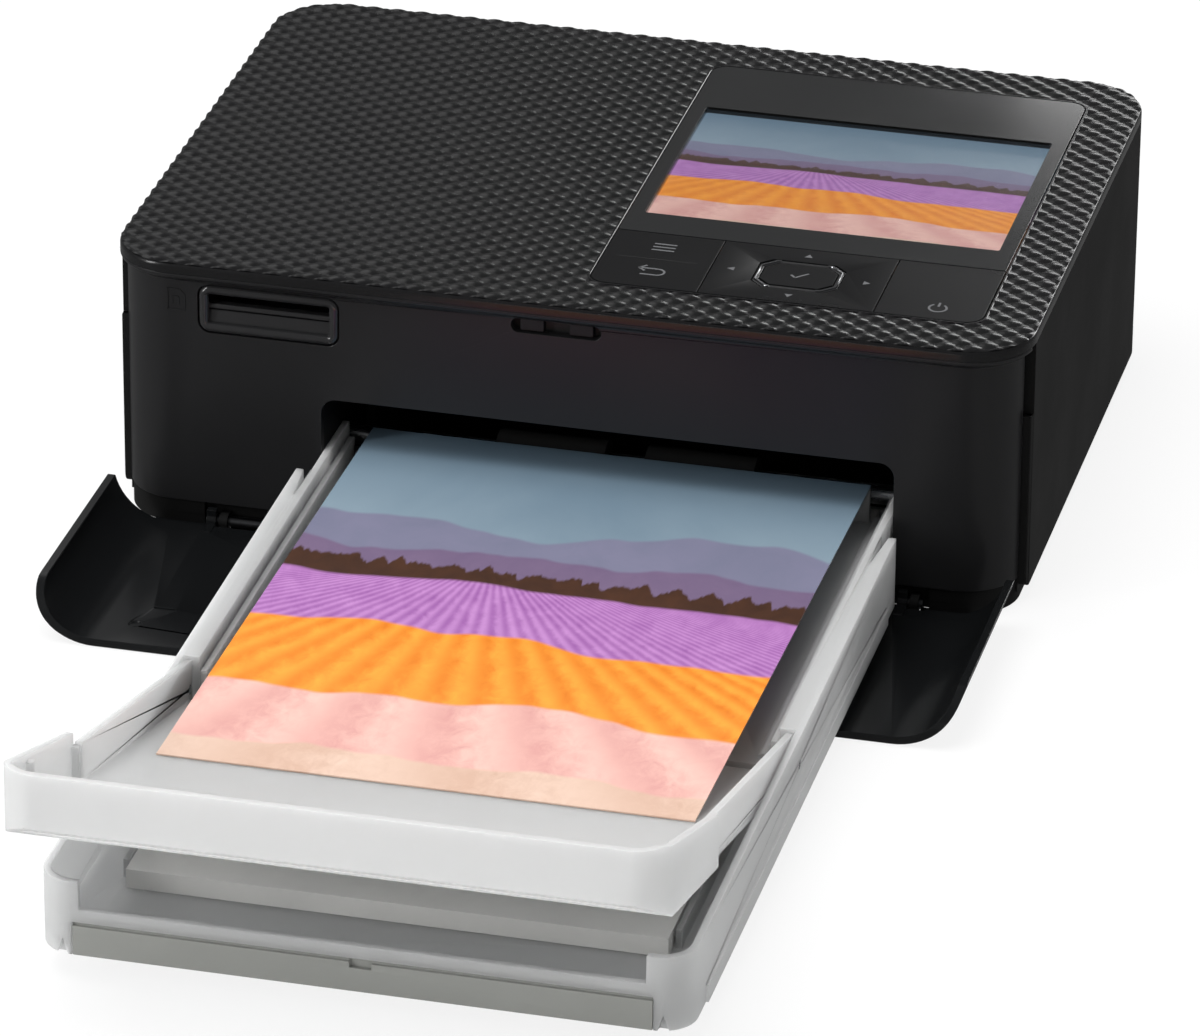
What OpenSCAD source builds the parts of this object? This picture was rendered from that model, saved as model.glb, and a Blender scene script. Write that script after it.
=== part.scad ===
// Compact photo printer with its paper cassette fitted, the front flap open and a print in the tray.
// Millimetres, +Z up, the front faces -Y. Inside a module X runs to the right and Y to the back,
// from the lower front left corner of the case; place() carries the module to the middle.

/* [Case] */
// width of the case
body_w = 182.2; // [180:0.2:200]
// depth of the case
body_d = 133; // [130:0.5:150]
// height from the table to the top of the knurl
body_h = 57.6; // [57.2:0.1:64]
// corner radius of the top cover in plan
corner_r = 13; // [10:0.5:15]
// wall thickness of the case parts
wall = 2; // [1.6:0.1:2.4]
// how far the front case sits back from the edge of the top cover
inset = 1.4; // [1:0.1:1.8]
// seam between two parts of the case
seam = 0.25; // [0.15:0.05:0.3]
// height of the visible edge of the top cover with its knurl
band_h = 2.4; // [2.2:0.1:3]
// height that the knurl takes
knurl_h = 0.6; // [0.4:0.1:0.8]
// height of the curved step under the top cover
cove_h = 1.5; // [1:0.1:1.8]
// height of the rubber feet
foot_h = 1.5; // [1.2:0.1:1.6]

/* [Front opening] */
// left edge of the opening
open_x = 43.3; // [42.5:0.1:44]
// width of the opening
open_w = 114; // [113.6:0.1:116]
// top of the opening above the table
open_z = 31; // [29:0.5:34]
// radius of its upper corners
open_r = 3; // [1:0.5:5]

/* [Panel] */
// left edge of the screen and key panel
panel_x = 93.5; // [92:0.5:96]
// front edge of the panel
panel_y = 12.4; // [11:0.2:14]
// width of the panel
panel_w = 77.8; // [77:0.1:79]
// depth of the panel
panel_d = 108.6; // [108:0.2:110]
// corner radius of the panel
panel_r = 3.6; // [2:0.2:5]
// depth of the key row
key_row = 25; // [24:0.5:26]
// thickness of the window and of the key plates
plate_t = 1.6; // [1.4:0.1:1.8]
// gap around each key
key_gap = 0.25; // [0.2:0.05:0.35]
// width of the menu key
menu_w = 21.9; // [20:0.5:23]
// width of the four-way pad
pad_w = 34.7; // [34:0.1:36]
// width of the OK key
ok_w = 14.4; // [13:0.2:16]
// depth of the OK key
ok_d = 10; // [9:0.2:11]
// how far a key goes down
key_travel = 0.4; // [0.3:0.05:0.5]
// width of the visible picture of the screen
lcd_w = 71.1; // [70:0.1:72]
// depth of the visible picture of the screen
lcd_d = 53.3; // [52:0.1:54.5]

/* [Front details] */
// left edge of the card bezel
bezel_x = 18.5; // [17:0.5:20]
// width of the card bezel
bezel_w = 28.5; // [28:0.5:30]
// bottom of the card bezel
bezel_z = 42.5; // [42:0.1:42.8]
// height of the card bezel
bezel_h = 10.3; // [10:0.1:10.6]
// radius of the rolled rim of the card bezel
rim_r = 1; // [0.8:0.1:1.1]
// clear height of the card slot
card_h = 4.4; // [4.2:0.1:4.6]
// width of the card slot
card_w = 25.2; // [25:0.2:25.6]
// left edge of the latch recess
latch_x = 81.4; // [78:0.2:84]
// width of the latch recess
latch_w = 17.8; // [17:0.2:19]
// height of the latch recess
latch_h = 3; // [2.8:0.1:3.2]

/* [Side panels and ink door] */
// thickness of the side panels
side_t = 2.6; // [2.4:0.1:2.8]
// front edge of the side panels below the notch
side_y = 10.5; // [10.4:0.1:11]
// how far the upper part of the front edge is set back
notch_in = 1.6; // [1.2:0.1:2.4]
// height where the finger notch begins
notch_z = 40; // [38:0.5:44]
// bottom of the side panels
side_z = 2.8; // [2.6:0.1:3.2]
// distance of the door hinge from the back of the case
hinge_back = 8.4; // [8:0.1:9]
// radius of the steel door pins
door_pin_r = 0.7; // [0.6:0.05:0.75]
// radial clearance of every pin and shaft that turns
run_gap = 0.05; // [0.03:0.01:0.08]

/* [Front flap] */
// thickness of the flap
flap_t = 1.6; // [1.4:0.1:1.6]
// height of the flap's underside above the table
flap_z = 0.2; // [0.1:0.05:0.3]
// height of the flap's hinge axis
flap_axis_z = 2; // [1.95:0.05:2.2]
// height of the curled ends above the hinge axis
curl_h = 8.6; // [7:0.1:8.7]
// radius of the flap's far corners
flap_tip_r = 8.4; // [5:0.2:8.6]
// radius of the flap's hinge rods
rod_r = 1.1; // [0.9:0.05:1.2]

/* [Paper cassette] */
// width of the cassette in front of the case
cas_w = 119.2; // [118.6:0.1:120]
// how much further the cassette reaches from the case than a sheet is long
cas_over = 1; // [0.5:0.5:4]
// underside of the cassette above the table
cas_z = 5.3; // [5.2:0.1:5.6]
// top of the cassette walls above the table
cas_top = 20; // [19:0.1:20.2]
// wall thickness of the cassette
cas_t = 1.4; // [1.2:0.1:1.6]
// corner radius of the cassette
cas_r = 6.5; // [5:0.5:8]
// length of the part that goes into the case
cas_in = 24; // [22:0.5:25]
// distance of the front lid's hinge from the case
kink_y = 90.7; // [85:0.5:95]
// slope of the raised front lid in degrees
lid_slope = 14.6; // [12:0.2:16]
// height of the lid's floor above the table
lid_floor = 12.2; // [12:0.1:13]
// distance of the lip of the front lid from the case
reach = 197.7; // [195:0.5:202]
// height of the lip of the front lid above its floor
lip_h = 12; // [9:0.5:13]
// height of the grey front bar
bar_h = 6.5; // [5:0.5:7.5]
// width of a print
print_w = 100; // [99:0.5:101]
// length of a print
print_l = 148; // [146:0.5:150]
// length of a sheet before its ends are torn off
sheet_l = 176; // [170:0.5:177]

/* [Paper path] */
// radius of the feed roller
feed_r = 4.4; // [4:0.1:4.45]
// radius of the capstan
capstan_r = 3; // [2.6:0.1:3]
// radius of the platen roller
platen_r = 7.5; // [7:0.1:7.6]
// radius of the roller shafts
shaft_r = 2; // [1.8:0.1:2.2]
// height of the paper path at the platen
path_z = 24.5; // [24.3:0.1:24.6]
// module of the gear teeth
gear_m = 0.8; // [0.8:0.1:0.8]
// outer radius of the ribbon tubes
tube_r = 9.5; // [9:0.1:9.6]
// how far the thermal head lifts
head_lift = 2.5; // [1.5:0.1:2.6]

/* [Hidden] */
$fn = 64;
eps = 0.01;
seam_z = body_h - band_h;
top_z = body_h - knurl_h;
rim_w = 0.5;
flush_z = body_h - 0.1;
case_top = seam_z - seam;
cove_z = case_top - 0.5 - cove_h;
front_z = 5.5;
front_y = inset;
front_end = side_y - seam;
rear_y = body_d - hinge_back + side_t / 2 + 0.5;
hinge_y = body_d - hinge_back;
hinge_x = body_w - corner_r + sqrt(pow(corner_r - side_t / 2, 2) - pow(hinge_y - body_d + corner_r, 2));
lug_z = [side_z + 6, case_top - 11];
lug_h = 4;
mid_x = open_x + open_w / 2;
key_y = panel_y + key_row;
row_x = [panel_x, panel_x + menu_w, panel_x + menu_w + pad_w, panel_x + panel_w];
ok_x = (row_x[1] + row_x[2]) / 2;
ok_y = panel_y + key_row / 2;
plate_z = flush_z - plate_t;
stem_r = 1.6;
switch_z = plate_z - 3.6;
board_z = switch_z - 1.6;
pan_t = 2;
pan_z = foot_h + pan_t;
card_x = bezel_x + (bezel_w - card_w) / 2;
card_z = bezel_z + 4.4;
reader_y = front_y + rim_r + 1.4;
reader_l = 28;
latch_z = cove_z - latch_h + 0.2;
cas_x = mid_x - cas_w / 2;
cas_l = sheet_l + cas_over;
rail_x = open_x + 0.4;
rail_t = 1.4;
rail_w = open_w - 0.8;
lid_x = rail_x + rail_t + 0.25;
lid_w = rail_w - 2 * rail_t - 0.5;
lid_t = 1.3;
tray_x = cas_x + cas_t + 0.3;
tray_w = cas_w - 2 * cas_t - 0.6;
ear_y = 7.5;
ear_front = 156.8;
stack_z = cas_z + 1.4;
stack_top = lid_floor - lid_t - 0.4;
plate_x = [open_x - 6.8, open_x + open_w + 7.2];
sheet_t = 1.5;
chassis_end = body_d - 15;
eject_y = body_d - 27;
pinion_z = 12;
feed_teeth = 26;
capstan_teeth = 18;
spool_teeth = 24;
gear_x = 26;
gear_w = 6;
capstan_y = 46;
capstan_z = path_z - capstan_r;
motor_y = capstan_y - gear_m * (pinion_z + capstan_teeth) / 2;
motor_z = capstan_z;
feed_z = stack_top + 0.05 + feed_r;
feed_y = motor_y - sqrt(pow(gear_m * (pinion_z + feed_teeth) / 2, 2) - pow(motor_z - feed_z, 2));
platen_y = 64;
platen_z = path_z - platen_r;
pinch_r = 3;
pinch_z = path_z + 0.25 + pinch_r;
spool_y = [44.5, 84];
spool_z = 40.5;
ribbon_y = spool_y[0] + gear_m * (pinion_z + spool_teeth) / 2;
axle_z = 38;
bracket_x = 24.4;
bracket_t = 1.2;
posts = [[29, 40], [70, 34], [58, 14], [48, 8]];
screw_in = 12;
screw_at = [
    [screw_in, 16], [body_w - screw_in - 0.2, 16], [screw_in, body_d - 16], [body_w - screw_in - 0.2, body_d - 16],
    [50, body_d - 9], [body_w - 32.2, body_d - 9]
];
foot_in = 20;
foot_at = [
    [foot_in, 22], [body_w - foot_in - 0.2, 22], [foot_in, body_d - 23], [body_w - foot_in - 0.2, body_d - 23]
];
flap_hinge_z = 29.8;
lid_pin_r = 0.9;
pivot_z = lid_floor + 1.8;
lug_x = [22.6, body_w - 20.9];
knuckle_x = [20, body_w - 23.4];
flap_reach = 53.2;
print_rear = 14;
print_t = 0.3;
print_rear_z = 19.5;
print_front_z = lid_floor + (print_l - print_rear - kink_y) * tan(lid_slope) + 0.05;

module place() {
    translate([-body_w / 2, (reach - body_d) / 2, 0]) children();
}

// rounded rectangle with its lower left corner at the origin
module rrect(w, d, r) {
    translate([r, 0]) square([w - 2 * r, d]);
    translate([0, r]) square([w, d - 2 * r]);
    for (x = [r, w - r], y = [r, d - r]) translate([x, y]) circle(r);
}

// rounded slab lying flat
module slab(x, y, z, w, d, h, r) {
    translate([x, y, z]) linear_extrude(h) rrect(w, d, r);
}

module block(x0, x1, y0, y1, z0, z1) {
    translate([x0, y0, z0]) cube([x1 - x0, y1 - y0, z1 - z0]);
}

// the drawing plane is X and Z, extruded from y0 back to y1
module deep(y0, y1) {
    translate([0, y1, 0]) rotate([90, 0, 0]) linear_extrude(y1 - y0) children();
}

// the drawing plane is Y and Z, extruded from x0 to x1
module across(x0, x1) {
    translate([x0, 0, 0]) rotate([90, 0, 90]) linear_extrude(x1 - x0) children();
}

// cylinder along X at y, z
module rod(x0, x1, y, z, r) {
    translate([x0, y, z]) rotate([0, 90, 0]) cylinder(r = r, h = x1 - x0);
}

// outline of the case in plan, moved in by d
module outline(d) {
    translate([d, d]) rrect(body_w - 2 * d, body_d - 2 * d, corner_r - d);
}

module ring(d, t, z0, z1) {
    translate([0, 0, z0]) linear_extrude(z1 - z0) difference() {
        outline(d);
        outline(d + t);
    }
}

module top_cover() place() color("#1c1c1d") {
    difference() {
        union() {
            translate([0, 0, seam_z]) linear_extrude(top_z - seam_z) outline(0);
            ring(0, rim_w, seam_z, body_h);
            slab(panel_x - rim_w, panel_y - rim_w, seam_z, panel_w + 2 * rim_w, panel_d + 2 * rim_w,
                flush_z - seam_z, panel_r + rim_w);
            ring(inset + wall + 0.5, 1.2, seam_z - 2, seam_z + eps);
        }
        slab(panel_x, panel_y, seam_z - 1, panel_w, panel_d, band_h + 2, panel_r);
    }
}

module screen_window() place() color("#26282a") {
    intersection() {
        slab(panel_x + key_gap, panel_y + key_gap, plate_z, panel_w - 2 * key_gap, panel_d - 2 * key_gap,
            plate_t, panel_r - key_gap);
        block(0, body_w, key_y + key_gap / 2, body_d, 0, body_h);
    }
}

module lcd_panel() place() color("#33424d") {
    lcd_x = panel_x + (panel_w - lcd_w) / 2;
    block(lcd_x - 2, lcd_x + lcd_w + 2, key_y + 5, key_y + 5 + lcd_d + 8, switch_z + 0.1, plate_z - seam);
}

// tray under the screen and the keys, open where the key stems pass
module panel_frame() place() color("#2a2a2b") {
    lip = 1.2;
    difference() {
        slab(panel_x - lip, panel_y - lip, switch_z - 1, panel_w + 2 * lip, panel_d + 2 * lip,
            seam_z - switch_z + 1, panel_r + lip);
        slab(panel_x, panel_y, switch_z, panel_w, panel_d, band_h + 3, panel_r);
        for (p = stems()) translate([p[0], p[1], switch_z - 2]) cylinder(r = stem_r + 1.4, h = 4);
    }
}

// places of the key stems
function stems() = [
    [row_x[0] + 11, panel_y + 6], [row_x[0] + 11, key_y - 6],
    [ok_x - 12.5, ok_y], [ok_x + 12.5, ok_y], [ok_x, ok_y], [row_x[3] - 11, ok_y]
];

// one key plate cut out of the rounded panel between two splits
module key_plate(x0, x1) {
    intersection() {
        slab(panel_x + key_gap, panel_y + key_gap, plate_z, panel_w - 2 * key_gap, panel_d - 2 * key_gap,
            plate_t, panel_r - key_gap);
        block(x0 + key_gap / 2, x1 - key_gap / 2, 0, key_y - key_gap / 2, 0, body_h);
    }
}

module stem(p) {
    translate([p[0], p[1], switch_z + 1.2 + key_travel + 0.1]) {
        cylinder(r = stem_r, h = plate_z - switch_z - 1.2 - key_travel);
    }
}

// cut with four cut corners around the OK key
module ok_shape(g) {
    w = ok_w / 2 + g;
    d = ok_d / 2 + g;
    c = 2.4;
    polygon([[-w + c, -d], [w - c, -d], [w, -d + c], [w, d - c], [w - c, d], [-w + c, d], [-w, d - c], [-w, -d + c]]);
}

module menu_key() place() color("#1f1f20") {
    key_plate(row_x[0], row_x[1]);
    stem(stems()[0]);
    stem(stems()[1]);
}

module cross_key() place() color("#1f1f20") {
    difference() {
        key_plate(row_x[1], row_x[2]);
        translate([ok_x, ok_y, plate_z - 1]) linear_extrude(4) ok_shape(1.2 + key_gap);
    }
    stem(stems()[2]);
    stem(stems()[3]);
}

// polished collar between the four-way pad and the OK key
module ok_collar() place() color("#3a3a3b") {
    translate([ok_x, ok_y, plate_z - 0.6]) linear_extrude(plate_t + 0.5) difference() {
        ok_shape(1.2);
        ok_shape(key_gap);
    }
    translate([ok_x, ok_y, plate_z - key_travel - 0.5]) linear_extrude(0.4) difference() {
        ok_shape(2.6);
        ok_shape(key_gap);
    }
    for (s = [-1, 1]) translate([ok_x + s * (ok_w / 2 + 1.4), ok_y, switch_z]) {
        cylinder(r = 0.9, h = plate_z - key_travel - 0.4 - switch_z);
    }
}

module ok_key() place() color("#1f1f20") {
    translate([ok_x, ok_y, plate_z]) linear_extrude(plate_t) ok_shape(0);
    stem(stems()[4]);
}

module power_key() place() color("#1f1f20") {
    key_plate(row_x[2], row_x[3]);
    stem(stems()[5]);
}

module key_board() place() color("#1d4a33") {
    key_switches();
    block(panel_x + 1.5, panel_x + panel_w - 1.5, panel_y + 1.5, key_y - 2.5, board_z - 1.2, board_z);
}

module key_switches() {
    for (p = stems()) {
        translate([p[0] - 2.2, p[1] - 2.2, board_z]) cube([4.4, 4.4, 1.2]);
        translate([p[0], p[1], board_z + 1]) cylinder(r = 1.2, h = switch_z + 1.2 - board_z - 1);
    }
}

// section of the front wall: u runs outward, from the corner centre
function front_section() = concat(
    [[corner_r - inset - wall, front_z], [corner_r - inset, front_z], [corner_r - inset, cove_z]],
    [for (i = [1:6]) [corner_r - inset * (1 + cos(180 * i / 6)) / 2, cove_z + cove_h * i / 6]],
    [[corner_r, case_top], [corner_r - inset - wall, case_top]]
);

module front_case() place() color("#2a2a2b") {
    difference() {
        union() {
            for (c = [[corner_r, 180], [body_w - corner_r, 270]]) {
                translate([c[0], corner_r, 0]) rotate([0, 0, c[1]]) {
                    rotate_extrude(angle = 90, $fn = 128) polygon(front_section());
                }
            }
            across(corner_r, body_w - corner_r) {
                translate([corner_r, 0]) mirror([1, 0]) polygon(front_section());
            }
        }
        block(-1, body_w + 1, front_end, body_d, 0, body_h);
        deep(-1, 6) translate([open_x, -10]) rrect(open_w, open_z + 10, open_r);
        deep(-1, 6) translate([bezel_x, bezel_z]) rrect(bezel_w, bezel_h, 2.5);
        deep(-1, 6) translate([latch_x, latch_z]) rrect(latch_w, latch_h, latch_h / 2 - eps);
    }
}

// bezel of the card slot with a rolled rim
module card_bezel() place() color("#262627") {
    g = 0.15;
    w = bezel_w - 2 * g;
    h = bezel_h - 2 * g;
    r = 2.5 - g - rim_r;
    yc = front_y + rim_r - 0.3;
    translate([bezel_x + g, yc, bezel_z + g]) rotate([90, 0, 0]) {
        for (c = [[0, 0, 180], [1, 0, 270], [1, 1, 0], [0, 1, 90]]) {
            translate([2.5 - g + c[0] * (w - 5 + 2 * g), 2.5 - g + c[1] * (h - 5 + 2 * g), 0]) {
                rotate([0, 0, c[2]]) rotate_extrude(angle = 90) translate([r, 0]) circle(rim_r, $fn = 32);
            }
        }
        for (y = [rim_r, h - rim_r]) {
            translate([2.5 - g, y, 0]) rotate([0, 90, 0]) cylinder(r = rim_r, h = w - 5 + 2 * g, $fn = 32);
        }
        for (x = [rim_r, w - rim_r]) {
            translate([x, 2.5 - g, 0]) rotate([-90, 0, 0]) cylinder(r = rim_r, h = h - 5 + 2 * g, $fn = 32);
        }
    }
    difference() {
        deep(yc, yc + 1.4) translate([bezel_x + g, bezel_z + g]) rrect(w, h, 2.5 - g);
        block(card_x, card_x + card_w, -1, 9, card_z, card_z + card_h);
        // scoop below the slot
        translate([card_x, yc + 0.9, card_z]) rotate([-14, 0, 0]) {
            translate([0, -4, -bezel_h]) cube([card_w, 4, bezel_h + 1]);
        }
    }
}

module card_reader() place() color("#6f7072") {
    card_contacts();
    difference() {
        block(card_x - 1.4, card_x + card_w + 1.4, reader_y, reader_y + reader_l, card_z - 1.4, card_z + card_h + 1);
        block(card_x, card_x + card_w, reader_y - 1, reader_y + 24, card_z, card_z + card_h);
    }
    block(card_x, card_x + card_w, reader_y + 5, reader_y + reader_l - 1, card_z + 0.9, card_z + 1.9);
}

module card_contacts() {
    for (i = [0:7]) {
        x = card_x + 2 + i * (card_w - 5) / 7;
        block(x, x + 1.1, reader_y + 5.4, reader_y + 12, card_z + 1.9, card_z + 2.15);
    }
}

// two keepers that hold the closed flap, with the gap for its hook between them
module latch_catch() place() color("#3b3b3c") {
    y0 = front_y + wall + 0.1;
    mid = latch_x + latch_w / 2;
    block(latch_x - 2, latch_x + latch_w + 2, y0, y0 + 1.4, latch_z - 1.5, seam_z - 2.2);
    for (s = [-1, 1]) {
        block(mid + s * 4.9 - 2.35, mid + s * 4.9 + 2.35, front_y + 0.7, y0 + eps, latch_z + 0.3, latch_z + latch_h - 0.4);
    }
}

// side skin between its front edge and y1
module side_skin(y1) {
    intersection() {
        ring(0, side_t, side_z, case_top);
        difference() {
            across(body_w / 2, body_w + 1) translate([side_y, side_z]) rrect(y1 + 5 - side_y, body_h, 3);
            block(0, body_w + 1, y1, body_d, 0, body_h);
            block(0, body_w + 1, 0, side_y + notch_in, notch_z, body_h);
        }
    }
}

module left_panel() place() color("#1a1a1b") {
    translate([body_w, 0, 0]) mirror([1, 0, 0]) side_skin(rear_y - seam);
    for (z = [12, 40]) block(side_t - eps, side_t + 2, 60, 64, z, z + 4);
}

module ink_door() place() color("#19191a") {
    difference() {
        union() {
            side_skin(hinge_y);
            translate([hinge_x, hinge_y, side_z]) cylinder(r = side_t / 2, h = case_top - side_z);
        }
        for (z = lug_z) {
            block(hinge_x - 3, body_w + 1, hinge_y - 3, hinge_y + 3, z - 0.3, z + lug_h + 0.3);
            translate([hinge_x, hinge_y, z - 4]) cylinder(r = door_pin_r, h = lug_h + 8);
        }
    }
    // stiffening ribs and catch on the inner face
    for (z = [14, 30]) block(body_w - side_t - 1.2, body_w - side_t + eps, 22, 108, z, z + 1.2);
    block(body_w - side_t - 2.4, body_w - side_t + eps, 13, 15, 20, 26);
}

module door_pins() place() color("#a9abae") {
    for (z = lug_z) translate([hinge_x, hinge_y, z - 4]) cylinder(r = door_pin_r, h = lug_h + 8);
}

module rear_case() place() color("#222223") {
    slot_w = open_w - 6;
    difference() {
        union() {
            intersection() {
                ring(0, wall, side_z, case_top);
                block(0, body_w, rear_y, body_d, 0, body_h);
            }
            // door lugs
            for (z = lug_z) {
                translate([hinge_x, hinge_y, z]) cylinder(r = side_t / 2, h = lug_h);
                intersection() {
                    block(hinge_x - side_t / 2, hinge_x + side_t / 2, hinge_y, rear_y + 2, z, z + lug_h);
                    translate([0, 0, z]) linear_extrude(lug_h) outline(0.6);
                }
            }
            // bearing blocks of the dust flap
            for (x = [mid_x - slot_w / 2 - 4, mid_x + slot_w / 2]) {
                block(x, x + 4, body_d - 5, body_d - wall + eps, 24, 34);
            }
        }
        for (z = lug_z) translate([hinge_x, hinge_y, z - 1]) cylinder(r = door_pin_r + run_gap, h = lug_h + 2);
        block(mid_x - slot_w / 2, mid_x + slot_w / 2, body_d - 6, body_d + 1, 19, flap_hinge_z + 1.5);
        rod(mid_x - slot_w / 2 - 3, mid_x + slot_w / 2 + 3, body_d - 1.4, flap_hinge_z, 0.7 + run_gap);
        block(11.8, 22.2, body_d - 5, body_d + 1, 7.8, 18.2);
        block(27.8, 37.2, body_d - 5, body_d + 1, 9.8, 14.2);
        for (i = [0:8]) {
            deep(body_d - 5, body_d + 1) translate([mid_x - 30 + i * 7, 38]) rrect(2, 11, 0.99);
        }
    }
}

module dust_flap() place() color("#1e1e1f") {
    dust_flap_pins();
    slot_w = open_w - 6;
    difference() {
        union() {
            rod(mid_x - slot_w / 2 + 0.3, mid_x + slot_w / 2 - 0.3, body_d - 1.4, flap_hinge_z, 1.2);
            block(mid_x - slot_w / 2 + 0.3, mid_x + slot_w / 2 - 0.3, body_d - 1.6, body_d - 0.4, 19.3, flap_hinge_z);
        }
        for (x = [mid_x - slot_w / 2, mid_x + slot_w / 2 - 3]) rod(x, x + 3, body_d - 1.4, flap_hinge_z, 0.7);
    }
}

module dust_flap_pins() {
    slot_w = open_w - 6;
    rod(mid_x - slot_w / 2 - 2.7, mid_x - slot_w / 2 + 3, body_d - 1.4, flap_hinge_z, 0.7);
    rod(mid_x + slot_w / 2 - 3, mid_x + slot_w / 2 + 2.7, body_d - 1.4, flap_hinge_z, 0.7);
}

module dc_inlet() place() color("#141414") {
    difference() {
        block(12, 22, body_d - 14, body_d - 0.3, 8, 18);
        translate([17, body_d + 1, 13]) rotate([90, 0, 0]) cylinder(r = 3.4, h = 11);
    }
    translate([17, body_d - 1.5, 13]) rotate([90, 0, 0]) cylinder(r = 1, h = 9);
}

module usb_port() place() color("#9c9ea1") {
    difference() {
        block(28, 37, body_d - 9, body_d - 0.3, 10, 14);
        block(28.4, 36.6, body_d - 7, body_d + 1, 10.4, 13.6);
    }
    block(29.4, 35.6, body_d - 8, body_d - 1.5, 11.8, 12.4);
}

module base_pan() place() color("#202021") {
    difference() {
        union() {
            slab(side_t + 0.6, front_y + wall + 0.4, foot_h, body_w - 2 * side_t - 1.2,
                body_d - front_y - 2 * wall - 0.8, pan_t, 9);
            for (p = screw_at) translate([p[0], p[1], pan_z - eps]) cylinder(r = 3, h = 4);
            // lugs for the flap's hinge rods
            for (x = lug_x) {
                rod(x, x + 1.7, front_y, flap_axis_z, rod_r + 0.6);
                block(x, x + 1.7, front_y, front_y + wall + 2, flap_axis_z - 0.4, flap_axis_z + rod_r + 0.4);
            }
        }
        for (x = lug_x) rod(x - 1, x + 3, front_y, flap_axis_z, rod_r + run_gap);
        for (p = screw_at) translate([p[0], p[1], foot_h - 1]) {
            cylinder(r = 1.2, h = 9);
            cylinder(r = 2.8, h = 2.2);
        }
    }
}

module rubber_feet() place() color("#101010") {
    for (p = foot_at) translate([p[0], p[1], 0]) cylinder(r = 5, h = foot_h);
}

module case_screws() place() color("#8c8e91") {
    for (p = screw_at) translate([p[0], p[1], 0]) {
        translate([0, 0, foot_h + 0.1]) cylinder(r = 2.5, h = 1.1);
        translate([0, 0, foot_h + 1]) cylinder(r = 1.2, h = 6);
    }
}

// side view of the flap: square at the hinge, rounded at the far upper corner
module flap_side() {
    top = flap_axis_z + curl_h;
    translate([-flap_reach, flap_z]) square([flap_reach - 1, top - flap_tip_r - flap_z]);
    translate([-flap_reach + flap_tip_r, flap_z]) square([flap_reach - 1 - flap_tip_r, top - flap_z]);
    intersection() {
        translate([-flap_reach + flap_tip_r, top - flap_tip_r]) circle(flap_tip_r, $fn = 96);
        translate([-flap_reach, flap_z]) square([flap_reach, 30]);
    }
}

// front view of the flap: flat floor with both ends curled up
module flap_front() {
    r = corner_r;
    translate([r, flap_z]) square([body_w - 2 * r, flap_t]);
    for (x = [r, body_w - r]) {
        intersection() {
            translate([x, flap_z + r]) difference() {
                circle(r, $fn = 128);
                circle(r - flap_t, $fn = 128);
            }
            translate([x < body_w / 2 ? 0 : x, flap_z]) square([r, r]);
        }
    }
}

module front_flap() place() color("#171718") {
    difference() {
        union() {
            intersection() {
                deep(-flap_reach, -1) flap_front();
                across(-1, body_w + 1) flap_side();
            }
            for (x = knuckle_x) {
                rod(x, x + 2, front_y, flap_axis_z, rod_r + 0.6);
                block(x, x + 2, -4, front_y, flap_z + 0.1, flap_axis_z);
                block(x, x + 2, front_y - 1.2, front_y + 0.3, flap_axis_z, flap_axis_z + 2.6);
            }
            // hook that meets the two keepers
            block(latch_x + latch_w / 2 - 2, latch_x + latch_w / 2 + 2, -51.2, -49.9, flap_z + flap_t - eps,
                flap_z + flap_t + 1);
            block(20.6, 25.2, -37.9, -37.4, flap_z + flap_t - eps, flap_z + flap_t + 0.3);
        }
        for (x = knuckle_x) rod(x - 1, x + 3, front_y, flap_axis_z, rod_r);
        translate([19, -45, flap_z + flap_t - 0.3]) cylinder(r = 1.2, h = 1);
    }
}

module flap_rods() place() color("#3f4042") {
    rod(knuckle_x[0], 40, front_y, flap_axis_z, rod_r);
    rod(knuckle_x[1], knuckle_x[1] + 5, front_y, flap_axis_z, rod_r);
}

// plan of the cassette in front of the case, moved in by d
module tray_plan(d) {
    translate([cas_x + d, -cas_l + d]) rrect(cas_w - 2 * d, 2 * cas_l, cas_r - d);
}

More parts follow.
